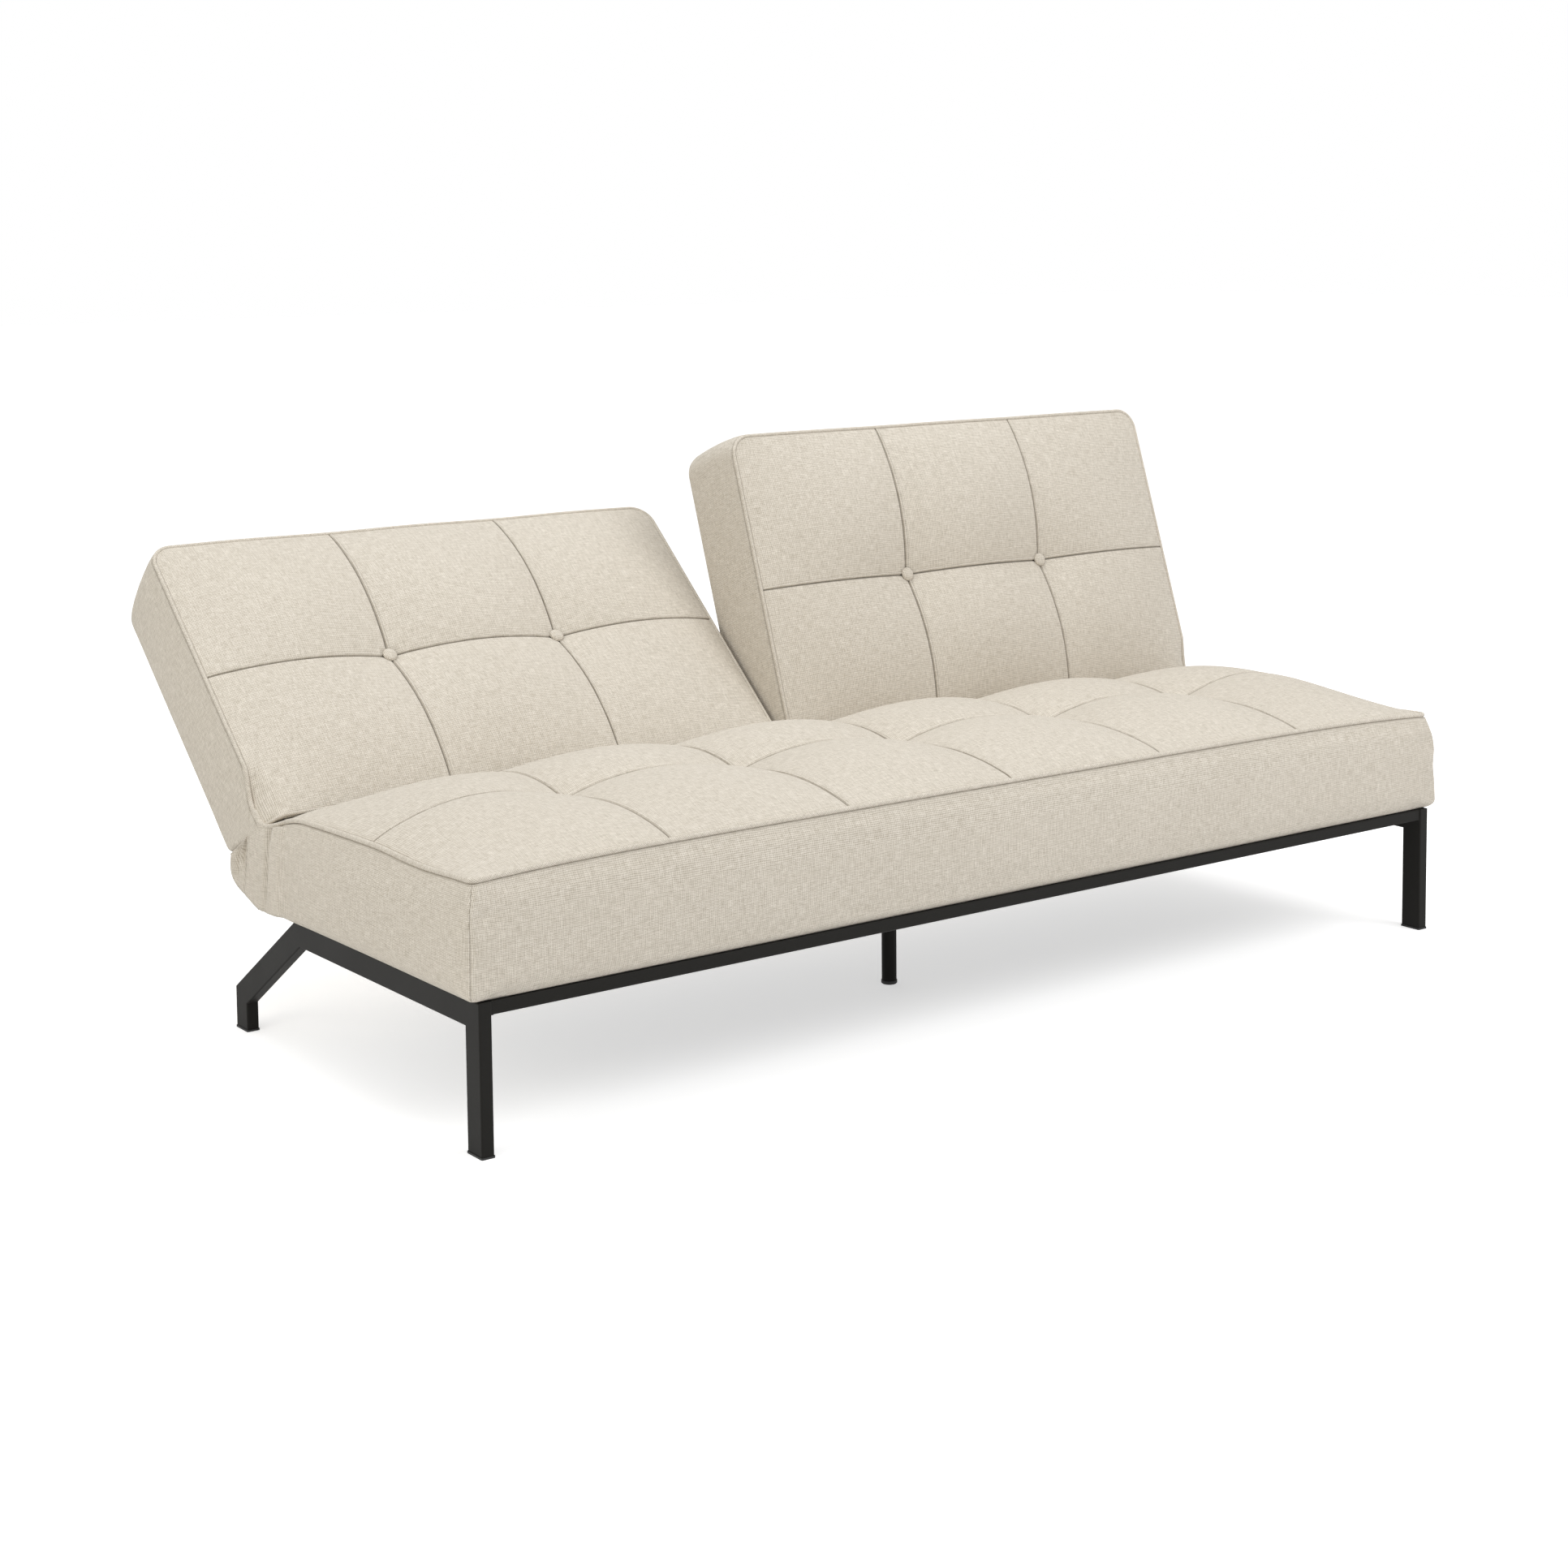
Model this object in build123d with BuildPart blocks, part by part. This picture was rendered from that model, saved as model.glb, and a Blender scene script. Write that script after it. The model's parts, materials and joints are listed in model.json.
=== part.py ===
from build123d import *
import os
from math import cos, radians, sin

# A sofa bed: a steel base, an upholstered seat box and two upholstered backs on ratchet hinges.
# Millimetres. X runs along the sofa (left is negative), Y runs to the rear, Z is up.
# The origin is the point on the floor under the centre leg.

os.makedirs("parts", exist_ok=True)

# Steel base
frame_inset = 5.0  # from the seat's piping line in to the end frames' outer faces
rail_top = 219.0  # top of the steel frame, where the seat box rests
tube_deep = 40.0
tube_thin = 20.0
tube_wall = 1.5
tube_corner = 2.5
leg_front_y = -325.0  # front face of the front legs
rear_bend_y = 226.0  # where the end rail turns down into the rear leg
rear_foot_y = 433.0  # middle of the rear foot
rear_knee_z = 56.5  # where the sloping rear leg turns upright
front_rail_y = -303.0
rear_rail_y = 235.0
end_plate = 3.5
end_plate_reach = 56.0  # how far an end plate reaches past its rail, to take two bolts
end_bolt_near = 17.0  # from the rail's side to the two bolts
end_bolt_far = 42.0
centre_leg_diameter = 25.0
centre_plate_length = 76.0
centre_bolt_x = 29.0
plate_margin = 4.0

# Feet
plug_flange = 3.0
plug_proud = 1.0
plug_depth = 18.0
plug_gap = 0.3
glide_height = 6.0
glide_chamfer = 1.5

# Bolts
bolt_radius = 4.0
bolt_head_radius = 6.5
bolt_head_height = 3.5
bolt_play = 0.2
bolt_past_plate = 10.0
seat_bolt_bite = 26.0  # up into the seat box's boards

# Seat
seat_half_length = 975.0  # to the piping line
seat_front_y = -318.0
seat_pad_rear_y = 267.0  # rear edge of the tufted top, in front of the backs
seat_rear_y = 318.0
seat_swell = 14.0  # how far the sides swell past the piping line
seat_shoulder = 12.0  # the same, a little under the piping
seat_foot_swell = 3.0  # the same, at the lower edge
seat_rear_swell = 3.0  # the most that the rear wall swells
seat_foot_round = 30.0  # height of the rounding at the lower edge
seat_shoulder_drop = 42.0
seat_edge_z = 388.0  # edge of the tufted top
seat_crown_z = 436.0
seat_long_seam_z = 430.0
seat_cross_seam_z = 421.0
seat_dip_z = 403.0
seat_step_z = 335.0  # floor of the step that the backs' lower edges swing over
seat_corner = 22.0
seat_columns = 6
end_swell = 6.0  # swell of a tufted pad along its two ends
end_seam = 2.0  # the same, at the long seam
board_thick = 22.0
board_height = 80.0
dust_cover_thick = 1.0
webbing_thick = 2.0
webbing_width = 60.0
seat_straps = 8
foam_top_z = 370.0
foam_inset = 20.0  # from the cover's inner walls
foam_slot_reach = 150.0  # in front of the hinge axis, for the arms
cover_wall = 15.0  # padding and cloth outside the boards, at the piping line
rear_cover_wall = 14.0
pad_rear_wall = 12.0
step_wall = 10.0

# Backs, drawn from the hinge axis: up along the back, and forward to its face
pivot_y = 310.0
pivot_z = 340.0
left_tilt = 48.3  # from upright, as the left back lies
right_tilt = 18.6
back_inner_x = 6.0
back_overhang = 13.0  # past the seat's piping line
back_height = 570.0
back_face = 38.0  # edge of the tufted face, forward of the hinge axis
back_rear = -115.0
back_crown = 28.0  # swell of each tile in front of the tufted face's edge
back_long_seam = 20.0
back_cross_seam = 22.0
back_dip = 0.0
back_columns = 3
back_top_corner = 40.0
back_foot_corner = 12.0
back_swell = 3.0
back_foot_start = 2.0  # height of the underside at the face
back_foot_rise = 49.0  # the underside rises this much from the face to the rear
back_frame_face = -5.0
back_board = 22.0
back_straps = 5
rear_panel_thick = 3.0
side_wall = 28.0  # padding outside the hinge arms
foot_wall = 11.0
head_wall = 18.0
frame_gap = 2.0  # between the padding and the frame's lower edge
button_radius = 12.5
button_rise = 6.0
button_seat = 1.0
button_play = 1.0
button_round = 3.6

# Piping
piping_radius = 4.0
piping_ledge = 8.0
piping_sink = 6.0  # from a tufted pad's edge down to the ledge

# Ratchet hinges
arm_thick = 4.0
arm_gap = 0.4
head_room = 2.1  # between the arm bolts' heads and the padding
lug_radius = 20.0
arm_bolt_rise = 42.0
arm_bolt_near = 60.0  # in front of the hinge axis
arm_bolt_far = 190.0
back_bolt_near = 80.0  # up along the back
back_bolt_far = 190.0
back_bolt_behind = 40.0  # behind the hinge axis
arm_end_radius = 18.0
ratchet_root = 29.0
ratchet_tip = 34.0
ratchet_step = 14.85  # degrees between notches
ratchet_notches = 4
notch_width = 7.0  # degrees
tooth_lap = 2.0
tooth_sink = 0.2
pawl_angle = 250.0  # where the pawl meets the ratchet, seen along the hinge axis
pawl_gap = 0.4
pawl_reach = 42.0
pawl_nose = 2.6
pawl_boss = 9.0
pawl_ear = 12.0  # the seat arm round the pawl's pin
pawl_throat = 5.5
pawl_waist = 5.0
pawl_spine = 15.0
pawl_heel = 13.0
pivot_radius = 5.0
pawl_pin_radius = 4.0
rivet_head_radius = 8.0
rivet_head = 2.2
rivet_seat_play = 0.02
rivet_running_play = 0.05
slot_radius = 36.0  # room round the hinge axis in the cushions
slot_play = 5.0
slot_drop = 50.0

# Gussets
gusset_thick = 2.0
gusset_gap = 0.5
gusset_hem = 6.0  # in from the back's rear edge
left_gusset_sag = 40.0
right_gusset_sag = 14.0

# Worked out from the sizes above
frame_half = seat_half_length - frame_inset
tube_mid_x = frame_half - tube_thin / 2
rail_z = rail_top - tube_thin / 2
end_rail_z = rail_top - tube_deep / 2
inner_face_x = frame_half - tube_thin
seat_floor_z = rail_top + dust_cover_thick
board_top_z = seat_floor_z + board_height
cavity_half = seat_half_length - cover_wall
board_half = cavity_half - 2 * arm_thick - arm_gap - bolt_head_height - head_room
back_outer_x = seat_half_length + back_overhang
back_middle_x = (back_inner_x + back_outer_x) / 2
hinge_half_span = board_half - back_middle_x  # from the back's middle to its end board's face
sides = {"left": -1, "right": 1}
tilts = {"left": left_tilt, "right": right_tilt}
sags = {"left": left_gusset_sag, "right": right_gusset_sag}
ends = {"outer": 1, "inner": -1}


def keep(piece, node):
    piece.part.label = node
    export_step(piece.part, f"parts/{node}.step")


def tube_section(plane, across, along):
    with BuildSketch(plane) as section:
        RectangleRounded(across, along, tube_corner)
        Rectangle(across - 2 * tube_wall, along - 2 * tube_wall, mode=Mode.SUBTRACT)
    return section.sketch


def mitre(before, corner, after):
    along = (corner - before).normalized() + (after - corner).normalized()
    return Plane(origin=corner, z_dir=along)


def cut_tube(start, end, start_cut, end_cut):
    direction = (end - start).normalized()
    first = Plane(origin=start - direction * tube_deep, x_dir=(1, 0, 0), z_dir=direction)
    with BuildPart() as tube:
        extrude(tube_section(first, tube_thin, tube_deep), amount=(end - start).length + 2 * tube_deep)
        split(bisect_by=start_cut, keep=Keep.TOP)
        split(bisect_by=end_cut, keep=Keep.BOTTOM)
    return tube.part


def x_hole(x, y, z, radius, length):
    with Locations(Location((x, y, z), (0, 90, 0))):
        Cylinder(radius, length, mode=Mode.SUBTRACT)


def bolt(seat, towards, length):
    """A bolt whose head sits on the point seat, with its shank pointing along towards."""
    with BuildSketch(Plane(origin=seat, z_dir=towards)) as shank:
        Circle(bolt_radius)
    extrude(shank.sketch, amount=length)
    with BuildSketch(Plane(origin=seat, z_dir=towards)) as head:
        Circle(bolt_head_radius)
    extrude(head.sketch, amount=-bolt_head_height)


# End frames: front leg, end rail and cranked rear leg
front_leg_y = leg_front_y + tube_deep / 2
end_bolts = (end_bolt_near, end_bolt_far)
front_bolt_ys = [front_rail_y + tube_deep / 2 + reach for reach in end_bolts]
rear_bolt_ys = [rear_rail_y - tube_deep / 2 - reach for reach in end_bolts]
bolt_hole = bolt_radius + bolt_play
floor_cut = Plane(origin=(0, 0, plug_flange), z_dir=(0, 0, 1))
foot_cut = Plane(origin=(0, 0, plug_flange), z_dir=(0, 0, -1))
for side, sign in sides.items():
    x = sign * tube_mid_x
    front_foot = Vector(x, front_leg_y, plug_flange)
    front_corner = Vector(x, front_leg_y, end_rail_z)
    rear_bend = Vector(x, rear_bend_y, end_rail_z)
    rear_knee = Vector(x, rear_foot_y, rear_knee_z)
    rear_foot = Vector(x, rear_foot_y, plug_flange)
    corner_cut = mitre(front_foot, front_corner, rear_bend)
    bend_cut = mitre(front_corner, rear_bend, rear_knee)
    knee_cut = mitre(rear_bend, rear_knee, rear_foot)
    with BuildPart() as front_leg:
        add(cut_tube(front_foot, front_corner, floor_cut, corner_cut))
    keep(front_leg, f"{side}_front_leg")
    with BuildPart() as end_rail:
        add(cut_tube(front_corner, rear_bend, corner_cut, bend_cut))
        for y in front_bolt_ys + rear_bolt_ys:
            x_hole(sign * inner_face_x, y, rail_z, bolt_hole, 4 * tube_wall)
    keep(end_rail, f"{side}_end_rail")
    with BuildPart() as rear_leg:
        add(cut_tube(rear_bend, rear_knee, bend_cut, knee_cut))
        add(cut_tube(rear_knee, rear_foot, knee_cut, foot_cut))
    keep(rear_leg, f"{side}_rear_leg")

# Long rails: a flat tube with a bolted plate at each end
inner_board_x = back_middle_x - hinge_half_span + board_thick / 2
front_board_y = seat_front_y + cover_wall + board_thick / 2


def long_rail(y, inward, seat_bolt_x, seat_bolt_y):
    tube_end = inner_face_x - end_plate
    reach = tube_deep + end_plate_reach
    with BuildPart() as rail:
        start = Plane(origin=(-tube_end, y, rail_z), x_dir=(0, 1, 0), z_dir=(1, 0, 0))
        extrude(tube_section(start, tube_deep, tube_thin), amount=2 * tube_end)
        for sign in (-1, 1):
            with Locations((sign * (tube_end + end_plate / 2), y + inward * end_plate_reach / 2, rail_z)):
                Box(end_plate, reach, tube_thin)
            for bolt_reach in end_bolts:
                bolt_y = y + inward * (tube_deep / 2 + bolt_reach)
                x_hole(sign * tube_end, bolt_y, rail_z, bolt_hole, 3 * end_plate)
            with Locations((sign * seat_bolt_x, seat_bolt_y, rail_z)):
                Cylinder(bolt_hole, 2 * tube_thin, mode=Mode.SUBTRACT)
        for bolt_x in (-centre_bolt_x, centre_bolt_x):
            with Locations(Location((bolt_x, y + inward * tube_deep / 2, rail_z), (90, 0, 0))):
                Cylinder(bolt_hole, 3 * tube_wall, mode=Mode.SUBTRACT)
    return rail


front_rail = long_rail(front_rail_y, 1, back_middle_x, front_board_y)
keep(front_rail, "front_rail")
rear_rail = long_rail(rear_rail_y, -1, inner_board_x, rear_rail_y)
keep(rear_rail, "rear_rail")

# Centre rail between the long rails, and the round centre leg under it
centre_start_y = front_rail_y + tube_deep / 2
centre_end_y = rear_rail_y - tube_deep / 2
with BuildPart() as centre_rail:
    centre_start = Plane(origin=(0, centre_start_y + end_plate, rail_z), x_dir=(1, 0, 0), z_dir=(0, 1, 0))
    centre_length = centre_end_y - centre_start_y - 2 * end_plate
    extrude(tube_section(centre_start, tube_deep, tube_thin), amount=centre_length)
    for plate_y in (centre_start_y + end_plate / 2, centre_end_y - end_plate / 2):
        with Locations((0, plate_y, rail_z)):
            Box(centre_plate_length + 2 * bolt_head_radius, end_plate, tube_thin)
        for bolt_x in (-centre_bolt_x, centre_bolt_x):
            with Locations(Location((bolt_x, plate_y, rail_z), (90, 0, 0))):
                Cylinder(bolt_hole, 2 * end_plate, mode=Mode.SUBTRACT)
    for bolt_y in (-centre_plate_length / 2, centre_plate_length / 2):
        with Locations((0, bolt_y, rail_top - tube_thin)):
            Cylinder(bolt_hole, 4 * tube_wall, mode=Mode.SUBTRACT)
keep(centre_rail, "centre_rail")

leg_plate_top = rail_top - tube_thin
with BuildPart() as centre_leg:
    with BuildSketch(Plane.XY.offset(glide_height)):
        Circle(centre_leg_diameter / 2)
        Circle(centre_leg_diameter / 2 - tube_wall, mode=Mode.SUBTRACT)
    extrude(amount=leg_plate_top - end_plate - glide_height)
    with BuildSketch(Plane.XY.offset(leg_plate_top - end_plate)):
        SlotCenterToCenter(centre_plate_length, centre_leg_diameter + 2 * plate_margin, rotation=90)
        with Locations((0, -centre_plate_length / 2), (0, centre_plate_length / 2)):
            Circle(bolt_hole, mode=Mode.SUBTRACT)
    extrude(amount=end_plate)
keep(centre_leg, "centre_leg")

# Plastic feet: a flange under the tube and a plug up inside it
with BuildPart() as leg_plugs:
    for sign in sides.values():
        for foot_y in (front_leg_y, rear_foot_y):
            with BuildSketch(Plane(origin=(sign * tube_mid_x, foot_y, 0))):
                RectangleRounded(tube_thin + 2 * plug_proud, tube_deep + 2 * plug_proud, tube_corner)
            extrude(amount=plug_flange)
            with BuildSketch(Plane(origin=(sign * tube_mid_x, foot_y, plug_flange))):
                shrink = 2 * (tube_wall + plug_gap)
                Rectangle(tube_thin - shrink, tube_deep - shrink)
            extrude(amount=plug_depth)
keep(leg_plugs, "leg_plugs")

with BuildPart() as centre_glide:
    with BuildSketch():
        Circle(centre_leg_diameter / 2 + plug_proud)
    extrude(amount=glide_height)
    with BuildSketch(Plane.XY.offset(glide_height)):
        Circle(centre_leg_diameter / 2 - tube_wall - plug_gap)
    extrude(amount=plug_depth)
    chamfer(centre_glide.edges().group_by(Axis.Z)[0], glide_chamfer)
keep(centre_glide, "centre_leg_glide")


# Places on the hinges: offsets run outward from the seat board's face, away from the back's middle
def hinge_x(sign, end, offset):
    return sign * (back_middle_x + end * (hinge_half_span + offset))


def hinge_slab(sign, end, low, high):
    """The middle and the width, along X, of a slab between two offsets."""
    return hinge_x(sign, end, (low + high) / 2), high - low


def seat_plane(x):
    return Plane(origin=(x, 0, 0), x_dir=(0, 1, 0), z_dir=(1, 0, 0))


def hinge_plane(x):
    return Plane(origin=(x, pivot_y, pivot_z), x_dir=(0, 1, 0), z_dir=(1, 0, 0))


def box_between(low, high, mode=Mode.ADD):
    size = [b - a for a, b in zip(low, high)]
    middle = Vector(*low) + (Vector(*high) - Vector(*low)) / 2
    with Locations(middle):
        Box(*size, mode=mode)


# Seat box of boards
seat_box_front_y = seat_front_y + cover_wall
seat_box_rear_y = seat_rear_y - rear_cover_wall
side_board_front_y = seat_box_front_y + board_thick
side_board_rear_y = seat_box_rear_y - board_thick
arm_bolt_z = seat_floor_z + arm_bolt_rise
arm_bolt_ys = (pivot_y - arm_bolt_far, pivot_y - arm_bolt_near)
arm_offset = arm_thick + arm_gap  # where the back arm's and pawl's layer starts
arm_outside = arm_offset + arm_thick

with BuildPart() as front_board:
    box_between(
        (-board_half, seat_box_front_y, seat_floor_z),
        (board_half, side_board_front_y, board_top_z),
    )
    with Locations(*[(sign * back_middle_x, front_board_y, seat_floor_z) for sign in sides.values()]):
        Cylinder(bolt_hole, board_height, mode=Mode.SUBTRACT)
keep(front_board, "seat_front_board")

with BuildPart() as rear_board:
    box_between((-board_half, side_board_rear_y, seat_floor_z), (board_half, seat_box_rear_y, board_top_z))
    for sign in sides.values():
        x, width = hinge_slab(sign, -1, -arm_gap, arm_outside)
        with Locations((x, side_board_rear_y + board_thick / 2, (arm_bolt_z + board_top_z) / 2)):
            Box(width, board_thick, board_top_z - arm_bolt_z, mode=Mode.SUBTRACT)
keep(rear_board, "seat_rear_board")

for side, sign in sides.items():
    for end_name, end in ends.items():
        x, width = hinge_slab(sign, end, -board_thick, 0)
        with BuildPart() as side_board:
            box_between(
                (x - width / 2, side_board_front_y, seat_floor_z),
                (x + width / 2, side_board_rear_y, board_top_z),
            )
            for bolt_y in arm_bolt_ys:
                x_hole(x, bolt_y, arm_bolt_z, bolt_hole, 2 * board_thick)
            if end_name == "inner":
                with Locations((x, rear_rail_y, seat_floor_z)):
                    Cylinder(bolt_hole, board_height, mode=Mode.SUBTRACT)
        keep(side_board, f"seat_{side}_{end_name}_board")

with BuildPart() as seat_webbing:
    strap_step = 2 * cavity_half / (seat_straps + 1)
    for strap in range(seat_straps):
        strap_x = (strap - (seat_straps - 1) / 2) * strap_step
        box_between(
            (strap_x - webbing_width / 2, seat_box_front_y, board_top_z),
            (strap_x + webbing_width / 2, seat_box_rear_y, board_top_z + webbing_thick),
        )
keep(seat_webbing, "seat_webbing")

pad_inner_y = seat_pad_rear_y - pad_rear_wall
with BuildPart() as seat_foam:
    box_between(
        (-cavity_half + foam_inset, seat_box_front_y, board_top_z + webbing_thick),
        (cavity_half - foam_inset, pad_inner_y, foam_top_z),
    )
    for sign in sides.values():
        x, width = hinge_slab(sign, -1, -slot_play, arm_outside + bolt_head_height + head_room)
        box_between(
            (x - width / 2, pivot_y - foam_slot_reach, board_top_z),
            (x + width / 2, pivot_y, foam_top_z),
            Mode.SUBTRACT,
        )
keep(seat_foam, "seat_foam")

with BuildPart() as dust_cover:
    box_between((-board_half, seat_box_front_y, rail_top), (board_half, seat_box_rear_y, seat_floor_z))
    seat_bolt_places = [(sign * back_middle_x, front_board_y) for sign in sides.values()]
    seat_bolt_places += [(sign * inner_board_x, rear_rail_y) for sign in sides.values()]
    with Locations(*[(x, y, rail_top) for x, y in seat_bolt_places]):
        Cylinder(bolt_hole, 4 * dust_cover_thick, mode=Mode.SUBTRACT)
keep(dust_cover, "dust_cover")


# Tufted pads: a row of tiles, each lofted between its two seams through its crown
def pad_section(plane, foot, middle, head, base, edge, peak, valley):
    with BuildSketch(plane) as section:
        with BuildLine():
            Line((foot, base), (head, base))
            Line((head, base), (head, edge))
            ThreePointArc((head, edge), ((head + middle) / 2, peak), (middle, valley))
            ThreePointArc((middle, valley), ((foot + middle) / 2, peak), (foot, edge))
            Line((foot, edge), (foot, base))
        make_face()
    return section.sketch


def tufted_pad(plane_at, first_x, last_x, columns, foot, head, base, edge, heights):
    crown, long_seam, cross_seam, dip = heights
    middle = (foot + head) / 2

    def section(x, peak, valley):
        return pad_section(plane_at(x), foot, middle, head, base, edge, peak, valley)

    def seam(index):
        x = first_x + (last_x - first_x) * index / columns
        if index in (0, columns):
            return section(x, edge + end_swell, edge + end_seam)
        return section(x, cross_seam, dip)

    with BuildPart() as pad:
        for index in range(columns):
            crown_x = first_x + (last_x - first_x) * (index + 0.5) / columns
            loft(sections=[seam(index), section(crown_x, crown, long_seam), seam(index + 1)])
    return pad.part


def round_corners(plane, low, high, head_corner, foot_corner):
    """Cuts the upright corners of the pad in hand to round ones."""
    for x, inward in ((low[0], 1), (high[0], -1)):
        for y, upward, corner in ((low[1], 1, foot_corner), (high[1], -1, head_corner)):
            if corner > 0:
                with BuildSketch(plane) as waste:
                    with Locations((x, y)):
                        Rectangle(2 * corner, 2 * corner)
                    with Locations((x + inward * corner, y + upward * corner)):
                        Circle(corner, mode=Mode.SUBTRACT)
                extrude(waste.sketch, amount=2 * back_face, both=True, mode=Mode.SUBTRACT)


def outline(plane, low, high, head_corner, foot_corner):
    """A rectangle from its low to its high corner, with its upper and lower corners rounded."""
    with BuildSketch(plane) as section:
        with Locations(((low[0] + high[0]) / 2, (low[1] + high[1]) / 2)):
            Rectangle(high[0] - low[0], high[1] - low[1])
        fillet(section.vertices().group_by(Axis.Y)[-1], head_corner)
        fillet(section.vertices().group_by(Axis.Y)[0], foot_corner)
    return section.sketch


# Seat cover: swelling sides, a tufted top, a step for the backs and a hollow for the box
ledge_z = seat_edge_z - piping_sink
pad_half = seat_half_length - piping_ledge
pad_front_y = seat_front_y + piping_ledge
seat_heights = (seat_crown_z, seat_long_seam_z, seat_cross_seam_z, seat_dip_z)
seat_pad = tufted_pad(
    seat_plane,
    -pad_half,
    pad_half,
    seat_columns,
    pad_front_y,
    seat_pad_rear_y,
    ledge_z,
    seat_edge_z,
    seat_heights,
)
with BuildPart() as seat_top:
    add(seat_pad)
    round_corners(
        Plane.XY.offset(ledge_z),
        (-pad_half, pad_front_y),
        (pad_half, seat_pad_rear_y),
        0.0,
        seat_corner - piping_ledge,
    )

cover_levels = []
for level_z, out in (
    (rail_top, seat_foot_swell),
    (rail_top + seat_foot_round, seat_swell),
    (ledge_z - seat_shoulder_drop, seat_shoulder),
    (ledge_z, 0.0),
):
    rear_out = min(out, seat_rear_swell)
    cover_levels.append(
        outline(
            Plane.XY.offset(level_z),
            (-seat_half_length - out, seat_front_y - out),
            (seat_half_length + out, seat_rear_y + rear_out),
            seat_corner,
            seat_corner,
        )
    )
with BuildPart() as seat_cover:
    loft(sections=cover_levels)
    reach = 2 * seat_half_length
    box_between((-reach, seat_pad_rear_y, seat_step_z), (reach, reach, reach), Mode.SUBTRACT)
    add(seat_top.part)
    box_between((-cavity_half, seat_box_front_y, 0), (cavity_half, pad_inner_y, foam_top_z), Mode.SUBTRACT)
    box_between((-cavity_half, 0, 0), (cavity_half, seat_box_rear_y, seat_step_z - step_wall), Mode.SUBTRACT)
    for sign in sides.values():
        for end in ends.values():
            x, width = hinge_slab(sign, end, -slot_play, cavity_half - board_half)
            box_between(
                (x - width / 2, pad_inner_y, pivot_z - slot_drop),
                (x + width / 2, reach, pivot_z + slot_radius),
                Mode.SUBTRACT,
            )
keep(seat_cover, "seat_cover")

# Seat piping: up both ends and along the front
piping_x = seat_half_length - piping_radius
piping_y = seat_front_y + piping_radius
piping_z = ledge_z + piping_radius
with BuildPart() as seat_piping:
    with BuildLine() as seat_piping_path:
        FilletPolyline(
            (-piping_x, seat_pad_rear_y, piping_z),
            (-piping_x, piping_y, piping_z),
            (piping_x, piping_y, piping_z),
            (piping_x, seat_pad_rear_y, piping_z),
            radius=seat_corner - piping_radius,
        )
    with BuildSketch(Plane(origin=seat_piping_path.line @ 0, z_dir=seat_piping_path.line % 0)):
        Circle(piping_radius)
    sweep(path=seat_piping_path.line)
keep(seat_piping, "seat_piping")


# Ratchet hinges
def turned(radius, degrees):
    return (radius * cos(radians(degrees)), radius * sin(radians(degrees)))


# The pawl's nose stands on the ratchet's rim and its pin lies along the rim's tangent
nose_radius = ratchet_tip + pawl_gap
nose_y, nose_z = turned(nose_radius, pawl_angle)
along_y, along_z = turned(1.0, pawl_angle - 90)
pin_y = nose_y + pawl_reach * along_y
pin_z = nose_z + pawl_reach * along_z


def back_plane(tilt, forward):
    """A plane parallel to the back's face: X across, Y up along the back."""
    lean = radians(tilt)
    normal = Vector(0, -cos(lean), sin(lean))
    return Plane(origin=Vector(0, pivot_y, pivot_z) + normal * forward, x_dir=(1, 0, 0), z_dir=normal)


def back_side_plane(tilt, x):
    """A plane across the back: X up along the back, Y forward to its face, from the hinge axis."""
    lean = radians(tilt)
    return Plane(origin=(x, pivot_y, pivot_z), x_dir=(0, sin(lean), cos(lean)), z_dir=(1, 0, 0))


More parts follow.
